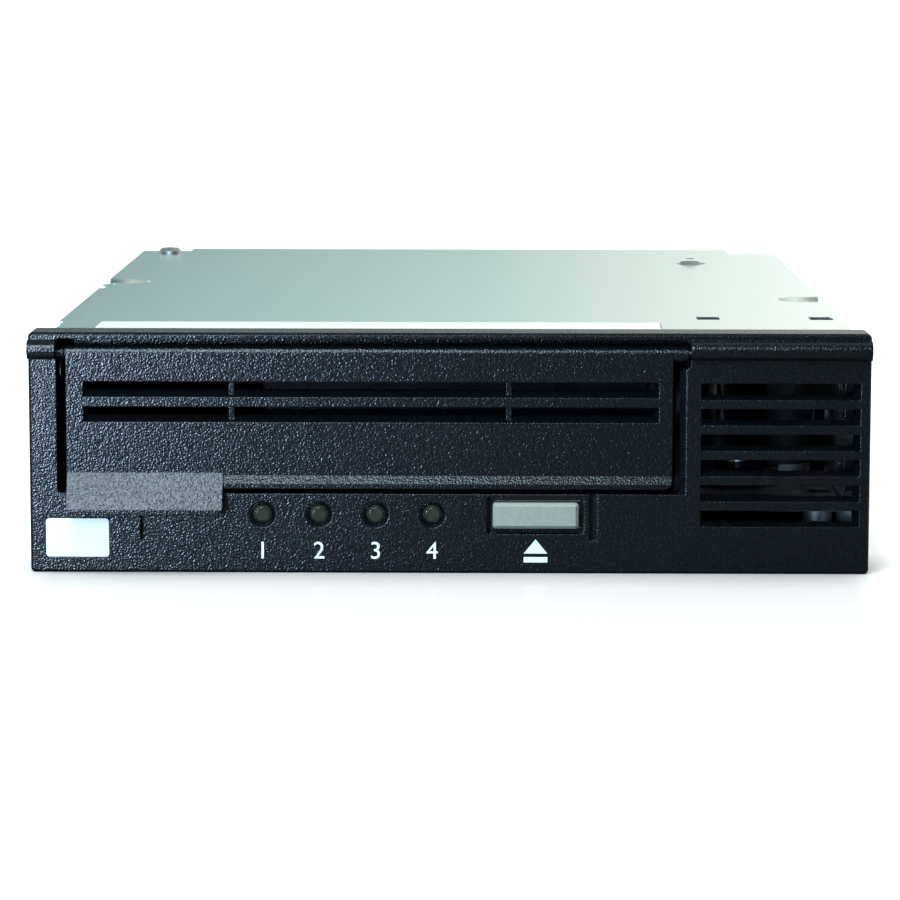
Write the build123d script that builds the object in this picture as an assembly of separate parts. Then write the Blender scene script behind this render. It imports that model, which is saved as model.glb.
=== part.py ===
from build123d import *
import math
import os

# Half-height data tape drive in the 5.25-inch form: a sheet-metal chassis with a moulded front bezel,
# a hinged cartridge door, and the loader, reels, tape path and electronics inside.
# Millimetres. X runs to the right seen from the front, Y to the rear, Z up. The origin is the middle of
# the four bottom mounting holes, on the underside of the chassis.

# Whole drive
bezel_depth = 8.0
sheet = 1.0
overrun = 3.0

# Fits between neighbours
flat_gap = 0.1
running_gap = 0.05
loose_gap = 0.3

# Cartridge of the standard outline, and the loader stack that sets the height of the chassis
cartridge_width = 105.4
cartridge_depth = 102.0
cartridge_height = 21.5
bay_side_gap = 0.4
bay_top_gap = 0.3
tray_sheet = 0.8
deck_z = 7.8
deck_thickness = 2.0
tray_rise = 5.1
lid_gap = 1.9
bezel_rise = 1.6

deck_top_z = deck_z + deck_thickness
tray_floor_z = deck_top_z + tray_rise
tray_inner_z = tray_floor_z + tray_sheet
tray_top_z = tray_inner_z + cartridge_height + bay_top_gap + tray_sheet
wall_top = tray_top_z + lid_gap
chassis_height = wall_top + sheet
bezel_height = chassis_height + bezel_rise

# Width of the bezel: pillar, door with its gaps, and vent block, in that order from the left
pillar_width = 4.9
door_left_gap = 1.7
door_right_gap = 1.3
door_side_cover = 0.85
vent_block_width = 33.6
bezel_side_reach = 1.3

door_width = cartridge_width + 2 * door_side_cover
bezel_width = pillar_width + door_left_gap + door_width + door_right_gap + vent_block_width
half_bezel = bezel_width / 2
half_chassis = half_bezel - bezel_side_reach
inner_half = half_chassis - sheet
opening_left_x = -half_bezel + pillar_width
door_left_x = opening_left_x + door_left_gap
door_right_x = door_left_x + door_width
opening_right_x = door_right_x + door_right_gap
bay_centre_x = (door_left_x + door_right_x) / 2

# Mounting holes of the 5.25-inch form
hole_inset_x = 3.15
hole_span_y = 79.24
hole_setback = 47.4
mount_hole_radius = 1.5
side_hole_low = 9.9
side_hole_rise = 11.94
collar_wall = 1.0
collar_reach = 0.5
floor_collar_reach = 1.0

hole_span_x = 2 * (half_chassis - hole_inset_x)

# Length, 209 mm in all: cartridge tray behind the mouth, take-up reel behind the tray, then the rear wall
tray_front_depth = 15.02
tray_overhang = 7.4
reel_radius = 39.0
reel_tray_gap = 9.6
reel_rear_room = 10.98

front_y = -(hole_span_y / 2 + hole_setback + bezel_depth)
seam_y = front_y + bezel_depth
tray_front_y = front_y + tray_front_depth
tray_rear_y = tray_front_y + cartridge_depth - tray_overhang + tray_sheet
reel_y = tray_rear_y + reel_tray_gap + reel_radius
rear_y = reel_y + reel_radius + reel_rear_room

# Rear end of the chassis, stepped in at both corners
rear_step_in = 11.0
left_step = 6.5
right_step = 11.0

rear_half_width = half_chassis - rear_step_in

# Bezel shell
skin = 2.5
side_rim = 2.0
floor_rim = 2.0
rail_thickness = 1.1
bezel_corner = 0.9
bezel_edge = 0.45

# Door and its opening
door_thickness = 2.2
door_proud = 0.1
door_bottom_z = 15.2
door_top_gap = 1.2
door_bottom_gap = 1.0
barrel_radius = 1.5
barrel_overhang = 2.7
barrel_gap = 0.4
pin_radius = 0.9
pin_reach = 1.3
opening_step_drop = 5.2
opening_fillet = 0.8
opening_chamfer = 1.1
frame_rib = 1.4
sill_thickness = 0.8
sill_depth = 4.0
rail_lip_drop = 2.2
rail_lip_thickness = 1.2

rail_z = bezel_height - rail_thickness
opening_step_z = rail_z - opening_step_drop
door_top_z = rail_z - door_top_gap
hinge_z = door_top_z - barrel_radius
door_y = front_y + door_proud
door_back_y = door_y + door_thickness
hinge_y = door_y + barrel_radius
barrel_right_x = door_right_x + barrel_overhang
opening_step_x = barrel_right_x + barrel_gap
opening_bottom_z = door_bottom_z - door_bottom_gap

# Flared lower lip of the door and its finger tab
tab_width = 27.7
tab_bottom_z = 10.7
tab_flare_top_z = 17.9
tab_flare_drop = 6.3
tab_flare_out = 2.9
tab_thickness = 1.15
lip_flare_top_z = 17.4
lip_flare_drop = 1.3
lip_flare_out = 0.8
lip_inner_rise = 1.0
tab_corner = 1.5
tab_inner_corner = 1.0
lip_corner = 1.6

tab_right_x = door_left_x + tab_width

# Louvre slots of the door
louvre_left_inset = 3.0
louvre_right_inset = 2.4
louvre_drop = 7.6
louvre_height = 2.8
louvre_pitch = 4.45
louvre_slope = 1.3
louvre_end_slope = 0.9
mullion_width = 1.0
mullion_inset = 0.8
mullion_first = 29.2
mullion_second = 78.2

louvre_top_z = rail_z - louvre_drop
mullion_places = (mullion_first, mullion_second)

# Half-round bars at the top of the bezel
bar_drop = 4.7
bar_radius = 1.7
bar_straight = 0.5

bar_bottom_z = bezel_height - bar_drop

# Vent of six slots at the right
vent_left_inset = 3.7
vent_right_inset = 1.8
vent_drop = 8.8
vent_height = 2.95
vent_pitch = 4.52
vent_count = 6
vent_end_slope = 1.1
vent_sill_slope = 0.7

vent_left_x = opening_right_x + vent_left_inset
vent_top_z = bezel_height - vent_drop

# Grooves in the lower face, one on each side of the cartridge's middle
groove_span = 79.4
groove_left_width = 1.8
groove_right_width = 1.5
groove_depth = 1.2
groove_foot_z = 5.8
groove_left_top_z = 10.5

# Status lights
light_count = 4
light_first_offset = 18.95
light_pitch = 10.03
light_z = 10.5
light_radius = 1.65
light_rim_radius = 2.4
light_sink = 0.7
light_base_radius = 1.45
light_dome = 0.5

light_first_x = bay_centre_x - light_first_offset

# Eject button
button_width = 15.2
button_height = 4.6
button_offset = 29.45
button_centre_z = 10.4
button_proud = 0.7
button_depth = 3.4
button_fillet = 0.6
button_edge_share = 0.9
button_gap = 0.25
button_travel = 1.2
recess_border = 1.05
recess_depth = 1.4
flange_border = 0.5
flange_thickness = 0.6
plunger_radius = 1.5
plunger_hold = 1.0
switch_size = 6.0
switch_depth = 2.4
switch_clear = 0.2

button_centre_x = bay_centre_x + button_offset
button_left_x = button_centre_x - button_width / 2
button_right_x = button_centre_x + button_width / 2
button_back_y = front_y - button_proud + button_depth

# Badge plate
badge_left_inset = 2.7
badge_width = 11.4
badge_height = 7.1
badge_bottom_z = 2.7
badge_corner = 0.6
badge_recess = 0.3
badge_thickness = 0.45

# Front panel board behind the lower face
panel_left_margin = 7.9
panel_right_margin = 14.7
panel_bottom_z = 3.2
panel_top_z = 13.3
panel_thickness = 1.4
peg_radius = 1.4

panel_left_x = light_first_x - panel_left_margin
panel_width = button_centre_x + switch_size / 2 + panel_right_margin - panel_left_x
panel_y = front_y + skin + flat_gap + flange_thickness + button_travel + switch_clear + switch_depth

# Bezel clips that hook inside the chassis walls
clip_reach = 6.0
clip_thickness = 1.4
clip_height = 7.0
clip_low_z = 14.0
clip_high_z = 27.0
clip_bump = 0.5

# Torsion spring of the door
coil_wire = 0.19
coil_radius = 1.15
coil_turns = 3
coil_leg = 4.0
coil_foot = 3.0

# Top cover
cover_lip_height = 4.5
cover_lip_advance = 1.4
ramp_left_inset = 8.0
ramp_right_inset = 2.1
ramp_start = 24.0
ramp_end = 28.0
ramp_drop = 0.8
dimple_length = 13.0
dimple_reach = 9.0
dimple_drop = 0.9
dimple_slope = 0.9
dimple_hole_radius = 1.6
left_dimple_depth = 121.0
right_dimple_depth = 83.0
slot_width = 4.3
slot_length = 1.9
slot_depth = 37.5
slot_inner_inset = 27.0
slot_outer_inset = 5.8
notch_reach = 0.9
notch_length = 27.0
side_notch_depth = 107.5
side_notch_length = 4.2

cover_lip_start_y = tray_rear_y - cover_lip_advance
ramp_left_x = -half_chassis + ramp_left_inset
ramp_right_x = opening_right_x - ramp_right_inset
slot_inner_x = half_chassis - slot_inner_inset
slot_outer_x = half_chassis - slot_outer_inset

# Cover screws: one over the deck, one at the rear left corner
screw_head_radius = 2.5
screw_head_height = 1.1
screw_shank_radius = 1.25
screw_shank_length = 4.0
screw_boss_radius = 3.0
right_screw_inset = 21.2
right_screw_rear_inset = 39.0
left_screw_inset = 6.5
left_screw_rear_inset = 11.5
screw_dimple_radius = 3.6
screw_dimple_drop = 0.6
left_boss_radius = 2.6

right_screw_x = half_chassis - right_screw_inset
left_screw_x = -half_chassis + left_screw_inset
right_screw_y = rear_y - right_screw_rear_inset
left_screw_y = rear_y - left_screw_rear_inset

# Main board and what it carries
board_rise = 1.8
board_thickness = 1.4
board_side_margin = 7.0
board_front_depth = 37.02
board_rear_margin = 2.4
board_fan_margin = 4.0
board_foot_radius = 2.6

chip_height = 1.6
chip_places_share = ((-0.55, -0.62, 0.22, 0.22), (0.30, -0.30, 0.24, 0.24), (-0.10, 0.32, 0.16, 0.22),
                     (0.52, 0.42, 0.20, 0.16), (-0.62, 0.10, 0.12, 0.18))
ribbon_width = 14.0
ribbon_thickness = 0.3
socket_depth = 4.0
socket_height = 2.6

board_half_width = inner_half - board_side_margin
board_front_y = front_y + board_front_depth
board_z = sheet + board_rise
board_top_z = board_z + board_thickness

# Rear connector: data and power in one shell
port_width = 42.0
port_inset = 10.0
port_depth = 11.0
port_height = 7.6
port_wall = 1.1
port_tongue_height = 1.3
port_window_border = 0.6
port_key_width = 3.0

port_left_x = -rear_half_width + port_inset

# Fan at the rear right
fan_top_gap = 2.2
fan_depth = 10.0
fan_inset = 2.0
fan_bottom_z = 3.0
fan_wall = 1.5
fan_hub_radius = 9.0
fan_hub_wall = 1.2
fan_blade_count = 7
fan_blade_thickness = 1.2
fan_blade_twist = 32.0
fan_blade_share = 0.8
fan_shaft_radius = 1.0
fan_strut_width = 2.4
fan_strut_depth = 1.4
fan_grille_bar = 1.1
fan_grille_rings = 2
fan_screw_inset = 3.2
fan_screw_radius = 1.5

fan_size = wall_top - fan_bottom_z - fan_top_gap
fan_left_x = rear_half_width - fan_inset - fan_size
fan_back_y = rear_y - sheet - flat_gap
fan_front_y = fan_back_y - fan_depth
fan_centre_x = fan_left_x + fan_size / 2
fan_centre_z = fan_bottom_z + fan_size / 2

# Deck plate: the casting that carries everything on the tape path
deck_front_depth = 23.02
deck_rear_margin = 17.98
deck_side_gap = 0.5
deck_post_radius = 2.75
deck_post_inset = 3.6
deck_post_margin_front = 12.0
deck_post_margin_rear = 8.0
deck_rib_height = 1.2
deck_rib_width = 1.6
deck_notch_length = 12.0
deck_notch_depth = 4.5
deck_screw_radius = 1.25
deck_screw_head_radius = 2.4
deck_screw_head_height = 1.3
deck_screw_length = 4.5

deck_front_y = front_y + deck_front_depth
deck_rear_y = rear_y - deck_rear_margin
deck_post_x = inner_half - deck_post_inset
deck_post_rows = (deck_front_y + deck_post_margin_front, deck_rear_y - deck_post_margin_rear)

# Cartridge tray, a cage of thin sheet that drops onto the supply hub
tray_lip = 9.0
tray_hub_hole_radius = 25.0
tray_drop = 4.5
tray_travel_ratio = 0.25
tray_pin_radius = 1.2
tray_pin_z = 26.6
tray_pin_inset = 15.0
tray_pin_spacing = 60.0
tape_window_length = 26.0
tape_window_margin = 2.4

tray_pin_rows = (tray_front_y + tray_pin_inset, tray_front_y + tray_pin_inset + tray_pin_spacing)
slide_travel = tray_drop / tray_travel_ratio
cartridge_left_x = bay_centre_x - cartridge_width / 2
cartridge_right_x = bay_centre_x + cartridge_width / 2
tray_left_x = cartridge_left_x - bay_side_gap - tray_sheet
tray_right_x = cartridge_right_x + bay_side_gap + tray_sheet

# Cam slides and guide rails beside the cartridge tray
slide_thickness = 1.0
slide_gap = 1.0
slide_inset = 2.0
slide_length = 76.0
slide_low_z = 12.4
slide_high_z = 31.5
rail_thickness_side = 0.8
rail_gap = 0.4
rail_inset = 1.0
rail_length = 81.0
rail_high_z = 35.0
rail_foot_width = 3.4
rail_window_length = 53.6
rail_window_top_z = 14.4
slot_clearance = 0.12

slide_front_y = tray_front_y + slide_inset
slide_rear_y = slide_front_y + slide_length
rail_front_y = tray_front_y + rail_inset
rail_rear_y = rail_front_y + rail_length
rail_window_rear_y = rail_front_y + rail_foot_width + rail_window_length
left_slide_x = tray_left_x - slide_gap
right_slide_x = tray_right_x + slide_gap
left_rail_x = left_slide_x - slide_thickness - rail_gap
right_rail_x = right_slide_x + slide_thickness + rail_gap

# Loader gears
gear_module = 0.8
gear_teeth = 20
pinion_teeth = 10
gear_face = 2.6
gear_rise = 0.6
gear_addendum_share = 0.76
gear_dedendum_share = 1.15
gear_tooth_share = 0.38
gear_flank_angle = 21.0
gear_post_radius = 1.5
gear_hub_radius = 3.2
gear_hub_rise = 1.2
gear_setback = 30.0
pinion_angle = 45.0
rack_depth = 2.1
rack_inset = 3.5
rack_length = 30.5
loader_motor_radius = 8.0
loader_motor_length = 20.0
loader_motor_shaft = 1.0
motor_seat_wall = 1.6
motor_seat_bore = 5.6
motor_cap_height = 1.4
motor_flat_share = 0.84
motor_cap_radius = 5.0

gear_y = tray_front_y + gear_setback
rack_front_y = slide_front_y + rack_inset
rack_rear_y = rack_front_y + rack_length
gear_radius = gear_module * gear_teeth / 2
pinion_radius = gear_module * pinion_teeth / 2
rack_back_x = right_slide_x + slide_thickness + rack_depth
rack_pitch_x = rack_back_x + gear_module * gear_dedendum_share
gear_x = rack_pitch_x + gear_radius
gear_z = deck_top_z + gear_rise
gear_centres = gear_radius + pinion_radius
pinion_x = gear_x + gear_centres * math.cos(math.radians(pinion_angle))
pinion_y = gear_y + gear_centres * math.sin(math.radians(pinion_angle))
motor_seat_z = gear_z + gear_face + loose_gap

# Supply side: motor and toothed hub under the cartridge's middle
supply_y = tray_rear_y - tray_sheet - cartridge_depth / 2
supply_motor_radius = 21.5
supply_motor_height = 2.0
supply_hub_radius = 17.0
supply_hub_height = 2.0
supply_crown_inner = 11.0
supply_crown_outer = 15.5
supply_tooth_count = 24
supply_tooth_width = 0.9
supply_tooth_height = 0.8
supply_pilot_radius = 4.0
supply_pilot_height = 1.4
spindle_radius = 2.0
spindle_boss_radius = 4.5

# Take-up side: motor and reel
reel_side_inset = 48.0
reel_hub_radius = 21.0
reel_flange = 1.2
reel_gap = 13.6
reel_window_count = 3
reel_window_width = 9.0
reel_window_share = 0.55
reel_recess_depth = 5.0
reel_recess_wall = 3.0
leader_slot_width = 3.4
leader_slot_depth = 5.0
take_up_motor_radius = 23.0
reel_rise = 0.6
tape_middle_drop = 0.15

reel_x = -inner_half + reel_side_inset
tape_z = tray_inner_z - tray_drop + cartridge_height / 2 - tape_middle_drop
take_up_motor_height = tape_z - reel_gap / 2 - reel_flange - reel_rise - deck_top_z

# Tape guide rollers
roller_radius = 6.0
roller_flange_radius = 7.0
roller_flange = 1.2
roller_height = 15.4
roller_post_radius = 1.5
roller_crown = 1.2
roller_seat_radius = 3.4
mouth_roller_inset = 19.0
side_roller_inset = 12.0
reel_roller_inset = 31.0
mouth_roller_advance = 13.4
entry_roller_setback = 1.1
exit_roller_advance = 8.0
reel_roller_setback = 4.0

roller_places = (
    (inner_half - mouth_roller_inset, tray_rear_y - mouth_roller_advance),
    (inner_half - side_roller_inset, tray_rear_y + entry_roller_setback),
    (inner_half - side_roller_inset, reel_y - exit_roller_advance),
    (inner_half - reel_roller_inset, reel_y + reel_roller_setback),
)
roller_bottom_z = tape_z - roller_height / 2
roller_top_z = tape_z + roller_height / 2

# Head and its lifting carriage
head_frame_inset = 11.4
head_frame_width = 10.2
head_setback = 10.0
head_frame_length = 21.2
head_foot = 1.8
head_wall = 2.2
head_top_gap = 1.4
head_arm = 1.4
head_rod_radius = 1.5
head_rod_inset = 3.6
head_rod_back = 4.4
head_range = 3.5
carriage_depth = 5.6
carriage_height = 11.0
carriage_end_gap = 1.4
carriage_back_gap = 0.5
head_block_width = 6.0
head_block_depth = 7.4
head_block_height = 13.0
head_face_radius = 5.0
head_slot_width = 0.6
head_slot_depth = 0.4
lead_screw_radius = 1.25
head_motor_radius = 4.6
head_motor_height = 2.9

head_frame_x = inner_half - head_frame_inset
head_front_y = tray_rear_y + head_setback
head_rear_y = head_front_y + head_frame_length
head_arm_z = tape_z + head_block_height / 2 + head_range + head_top_gap
head_centre_y = (head_front_y + head_rear_y) / 2
head_wall_x = head_frame_x + head_frame_width - head_wall
carriage_back_x = head_wall_x - carriage_back_gap
carriage_front_x = carriage_back_x - carriage_depth
rod_x = head_wall_x - head_rod_back + head_rod_radius

# Threader: arm that carries the leader pin round the tape path
threader_inset = 6.4
threader_setback = 6.0
threader_motor_radius = 4.6
arm_top_gap = 1.6
arm_thickness = 1.6
arm_length = 56.5
arm_width = 5.0
arm_rest_angle = -112.9
arm_hub_radius = 4.6
arm_shaft_radius = 1.2
grabber_radius = 1.5
grabber_bottom_z = 17.0
grabber_hook = 2.2

threader_x = inner_half - threader_inset
threader_y = reel_y + threader_setback
arm_z = wall_top - arm_top_gap - arm_thickness


# Shared building shapes
def slab(x0, x1, y0, y1, z0, z1):
    """A square-edged block between two opposite corners."""
    low = Align.MIN
    return Pos(x0, y0, z0) * Box(x1 - x0, y1 - y0, z1 - z0, align=(low, low, low))


def upright(x, y, z0, z1, radius):
    """A round bar along Z."""
    return Pos(x, y, z0) * Cylinder(radius, z1 - z0, align=(Align.CENTER, Align.CENTER, Align.MIN))


def crossways(x0, x1, y, z, radius):
    """A round bar along X."""
    return Pos((x0 + x1) / 2, y, z) * Rot(0, 90, 0) * Cylinder(radius, x1 - x0)


def lengthways(x, y0, y1, z, radius):
    """A round bar along Y."""
    return Pos(x, (y0 + y1) / 2, z) * Rot(90, 0, 0) * Cylinder(radius, y1 - y0)


def plan_prism(points, z0, z1):
    """An outline in plan, given as (x, y), raised from z0 to z1."""
    outline = Polyline(*[(x, y, z0) for x, y in points], close=True)
    return extrude(make_face(outline), amount=z1 - z0, dir=(0, 0, 1))


def side_prism(points, x0, x1):
    """An outline seen from the side, given as (y, z), drawn out from x0 to x1."""
    outline = Polyline(*[(x0, y, z) for y, z in points], close=True)
    return extrude(make_face(outline), amount=x1 - x0, dir=(1, 0, 0))


def front_prism(points, radii, y0, y1):
    """An outline seen from the front, given as (x, z) with a radius per corner, from y0 to y1."""
    outline = FilletPolyline(*[(x, y0, z) for x, z in points], radius=radii, close=True)
    return extrude(make_face(outline), amount=y1 - y0, dir=(0, 1, 0))


def round_panel(x0, x1, z0, z1, corner, y0, y1):
    """A panel facing the front with four equal round corners."""
    points = [(x0, z0), (x1, z0), (x1, z1), (x0, z1)]
    return front_prism(points, [corner] * len(points), y0, y1)


def save(name, *pieces):
    """Write one node; several separate solids share it as a group."""
    shape = pieces[0] if len(pieces) == 1 else Compound(children=list(pieces))
    export_step(shape, os.path.join("parts", name + ".step"))


# Front bezel
def vent_slots(y0, y1):
    """Six slots, each with a slanted right end and a sill that slopes to the front."""
    right_x = half_bezel - vent_right_inset
    plan = [(vent_left_x, y0), (right_x, y0), (right_x - vent_end_slope, y1), (vent_left_x, y1)]
    slots = []
    for index in range(vent_count):
        top_z = vent_top_z - index * vent_pitch
        low_z = top_z - vent_height
        side = [(y0, low_z), (y0, top_z), (y1, top_z), (y1, low_z + vent_sill_slope)]
        slots.append(plan_prism(plan, low_z, top_z) & side_prism(side, vent_left_x, right_x))
    return slots


def half_round_bar(x0, x1):
    """The styling bar that stands out of the face in line with the door's top edge."""
    middle_z = bar_bottom_z + bar_radius
    round_front = crossways(x0, x1, front_y - bar_straight, middle_z, bar_radius)
    back = slab(x0, x1, front_y - bar_straight, front_y + skin / 2, bar_bottom_z,
                bar_bottom_z + 2 * bar_radius)
    keep = slab(x0, x1, front_y - bar_straight - bar_radius, front_y + skin / 2,
                bar_bottom_z, bar_bottom_z + 2 * bar_radius)
    return (round_front & keep) + back


def door_opening():
    """The mouth behind the door, wider at the top where the hinge barrel overhangs."""
    top_z = rail_z
    points = [
        (opening_left_x, opening_bottom_z),
        (opening_right_x, opening_bottom_z),
        (opening_right_x, opening_step_z),
        (opening_step_x, opening_step_z),
        (opening_step_x, top_z),
        (opening_left_x, top_z),
    ]
    radii = [opening_fillet, opening_fillet / 2, opening_fillet, opening_fillet, 0, 0]
    return front_prism(points, radii, front_y - overrun, seam_y + overrun)


def front_bezel():
    """Moulded frame: shell with open back, door opening, vent, light holes, recesses and clips."""
    back_y = seam_y - flat_gap
    body = round_panel(-half_bezel, half_bezel, 0, bezel_height, bezel_corner, front_y, back_y)
    body = chamfer(body.faces().sort_by(Axis.Y)[0].edges(), bezel_edge)
    body -= slab(-half_bezel + side_rim, half_bezel - side_rim, front_y + skin, back_y + overrun, floor_rim,
                 rail_z)
    body += half_round_bar(-half_bezel, door_left_x - barrel_gap)
    body += half_round_bar(opening_step_x, half_bezel)
    # Door frame: two deep cheeks that hold the hinge pins, and a sill under the door
    sill_z = opening_bottom_z - sill_thickness
    body += slab(opening_left_x - frame_rib, opening_left_x, front_y + skin, back_y, sill_z, rail_z)
    body += slab(opening_step_x, opening_step_x + frame_rib, front_y + skin, back_y, sill_z, rail_z)
    body += slab(opening_left_x - frame_rib, opening_step_x + frame_rib, front_y + skin,
                 front_y + sill_depth, sill_z, opening_bottom_z)
    body -= door_opening()
    # Lip behind the top rail that hides the chassis above the door
    body += slab(opening_left_x - frame_rib, opening_step_x + frame_rib, back_y - rail_lip_thickness, back_y,
                 rail_z - rail_lip_drop, rail_z + rail_thickness / 2)
    wedge = [
        (opening_right_x, front_y - overrun),
        (opening_right_x + opening_chamfer, front_y),
        (opening_right_x, front_y + opening_chamfer),
        (opening_right_x - overrun, front_y),
    ]
    body -= plan_prism(wedge, opening_bottom_z, opening_step_z)
    for x0, x1 in ((opening_left_x - pin_reach, opening_left_x),
                   (opening_step_x, opening_step_x + pin_reach)):
        body -= crossways(x0, x1, hinge_y, hinge_z, pin_radius + running_gap)
    for slot in vent_slots(front_y, front_y + skin):
        body -= slot
    # Two upright grooves under the mouth
    left_groove_x = bay_centre_x - groove_span / 2
    right_groove_x = bay_centre_x + groove_span / 2
    body -= slab(left_groove_x - groove_left_width / 2, left_groove_x + groove_left_width / 2,
                 front_y - overrun, front_y + groove_depth, groove_foot_z, groove_left_top_z)
    body -= slab(right_groove_x - groove_right_width / 2, right_groove_x + groove_right_width / 2,
                 front_y - overrun, front_y + groove_depth, groove_foot_z, opening_bottom_z)
    # Countersunk holes for the lights
    for index in range(light_count):
        x = light_first_x + index * light_pitch
        body -= lengthways(x, front_y - overrun, front_y + skin + overrun, light_z, light_radius + flat_gap)
        sink = Cone(light_rim_radius, light_radius + flat_gap, light_sink,
                    align=(Align.CENTER, Align.CENTER, Align.MIN))
        body -= Pos(x, front_y, light_z) * Rot(-90, 0, 0) * sink
    # Button recess with a close hole in its floor
    recess_x = button_width / 2 + recess_border
    recess_z = button_height / 2 + recess_border
    body -= round_panel(button_centre_x - recess_x, button_centre_x + recess_x,
                        button_centre_z - recess_z, button_centre_z + recess_z,
                        button_fillet, front_y - overrun, front_y + recess_depth)
    hole_x = button_width / 2 + button_gap
    hole_z = button_height / 2 + button_gap
    body -= slab(button_centre_x - hole_x, button_centre_x + hole_x, front_y, front_y + skin + overrun,
                 button_centre_z - hole_z, button_centre_z + hole_z)
    badge_x = -half_bezel + badge_left_inset
    body -= round_panel(badge_x, badge_x + badge_width, badge_bottom_z, badge_bottom_z + badge_height,
                        badge_corner, front_y - overrun, front_y + badge_recess)
    # Pegs that the front panel board sits on
    for x in (panel_left_x + 2 * peg_radius, panel_left_x + panel_width - 2 * peg_radius):
        for z in (panel_bottom_z + peg_radius, panel_top_z - peg_radius):
            body += lengthways(x, front_y + skin / 2, panel_y, z, peg_radius)
    # Clips, two a side
    for side in (-1, 1):
        outer_x = side * (inner_half - loose_gap)
        inner_x = outer_x - side * clip_thickness
        root_x = side * (half_bezel - side_rim / 2)
        for z in (clip_low_z, clip_high_z):
            body += slab(min(outer_x, inner_x), max(outer_x, inner_x), back_y - clip_thickness,
                         back_y + clip_reach, z, z + clip_height)
            body += slab(min(root_x, inner_x), max(root_x, inner_x), back_y - clip_thickness,
                         back_y, z, z + clip_height)
            hook = slab(min(outer_x, outer_x - side * (clip_thickness + clip_bump)),
                        max(outer_x, outer_x - side * (clip_thickness + clip_bump)),
                        back_y + clip_reach - clip_thickness, back_y + clip_reach, z, z + clip_height)
            body += hook
    return body


def badge_plate():
    """Blank plate set in the recess at the lower left."""
    x0 = -half_bezel + badge_left_inset + flat_gap
    z0 = badge_bottom_z + flat_gap
    return round_panel(x0, x0 + badge_width - 2 * flat_gap, z0, z0 + badge_height - 2 * flat_gap,
                       badge_corner, front_y + badge_recess - badge_thickness, front_y + badge_recess)


# Cartridge door
def door_profile(flare_top_z, flare_drop, flare_out, bottom_z, inside):
    """Side view of the flap: plain face above, flared out below; inside gives the back of the lip."""
    front = [
        (door_y, hinge_z),
        (door_y, flare_top_z),
        (door_y - flare_out, flare_top_z - flare_drop),
        (door_y - flare_out, bottom_z),
    ]
    return front + inside + [(door_back_y, hinge_z)]


def louvre_slots():
    """Two long slots cut through the flap, with a sloping sill, slanted ends and set-back mullions."""
    left_x = door_left_x + louvre_left_inset
    right_x = door_right_x - louvre_right_inset
    y0 = door_y - flat_gap
    y1 = door_back_y + flat_gap
    plan = [(left_x, y0), (right_x, y0), (right_x - louvre_end_slope, y1), (left_x + louvre_end_slope, y1)]
    slots = []
    for index in range(2):
        top_z = louvre_top_z - index * louvre_pitch
        low_z = top_z - louvre_height
        side = [(y0, low_z), (y0, top_z), (y1, top_z), (y1, low_z + louvre_slope)]
        slot = plan_prism(plan, low_z, top_z) & side_prism(side, left_x, right_x)
        for place in mullion_places:
            middle_x = door_left_x + place
            slot -= slab(middle_x - mullion_width / 2, middle_x + mullion_width / 2,
                         door_y + mullion_inset, y1, low_z, top_z)
        slots.append(slot)
    return slots


def cartridge_door():
    """Flap with hinge barrel and stub pins, louvres, and a lower lip that flares into a finger tab."""
    tab_back_y = front_y - door_proud - flat_gap
    tab_inside = [
        (door_y - tab_flare_out + tab_thickness, tab_bottom_z),
        (tab_back_y, opening_bottom_z + door_bottom_gap),
        (door_back_y, tab_flare_top_z - tab_thickness),
    ]
    tab = side_prism(door_profile(tab_flare_top_z, tab_flare_drop, tab_flare_out, tab_bottom_z, tab_inside),
                     door_left_x, tab_right_x)
    lip_inside = [(door_back_y - lip_inner_rise, door_bottom_z),
                  (door_back_y, door_bottom_z + lip_inner_rise)]
    panel = side_prism(door_profile(lip_flare_top_z, lip_flare_drop, lip_flare_out, door_bottom_z,
                                    lip_inside),
                       tab_right_x, door_right_x)
    points = [
        (door_left_x, hinge_z),
        (door_left_x, tab_bottom_z),
        (tab_right_x, tab_bottom_z),
        (tab_right_x, door_bottom_z),
        (door_right_x, door_bottom_z),
        (door_right_x, hinge_z),
    ]
    radii = [0, tab_corner, tab_corner, tab_inner_corner, lip_corner, 0]
    body = (tab + panel) & front_prism(points, radii, front_y - tab_flare_out - overrun,
                                       door_back_y + overrun)
    body += crossways(door_left_x, barrel_right_x, hinge_y, hinge_z, barrel_radius)
    for slot in louvre_slots():
        body -= slot
    reach = pin_reach - loose_gap
    body += crossways(opening_left_x - reach, door_left_x, hinge_y, hinge_z, pin_radius)
    body += crossways(barrel_right_x, opening_step_x + reach, hinge_y, hinge_z, pin_radius)
    return body


def door_spring():
    """Close-wound torsion spring round the left hinge pin, with one leg bent behind the flap."""
    width = 2 * coil_wire * coil_turns
    start_x = door_left_x - (door_left_gap - width) / 2
    coil = upright(0, 0, 0, width, coil_radius + coil_wire)
    coil -= upright(0, 0, -overrun, width + overrun, coil_radius - coil_wire)
    leg = lengthways(coil_radius, 0, coil_leg, coil_wire, coil_wire)
    foot = upright(coil_radius, coil_leg, -coil_foot, 2 * coil_wire, coil_wire)
    place = Plane(origin=(start_x, hinge_y, hinge_z), x_dir=(0, 1, 0), z_dir=(-1, 0, 0))
    return place * (coil + leg + foot)


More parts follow.
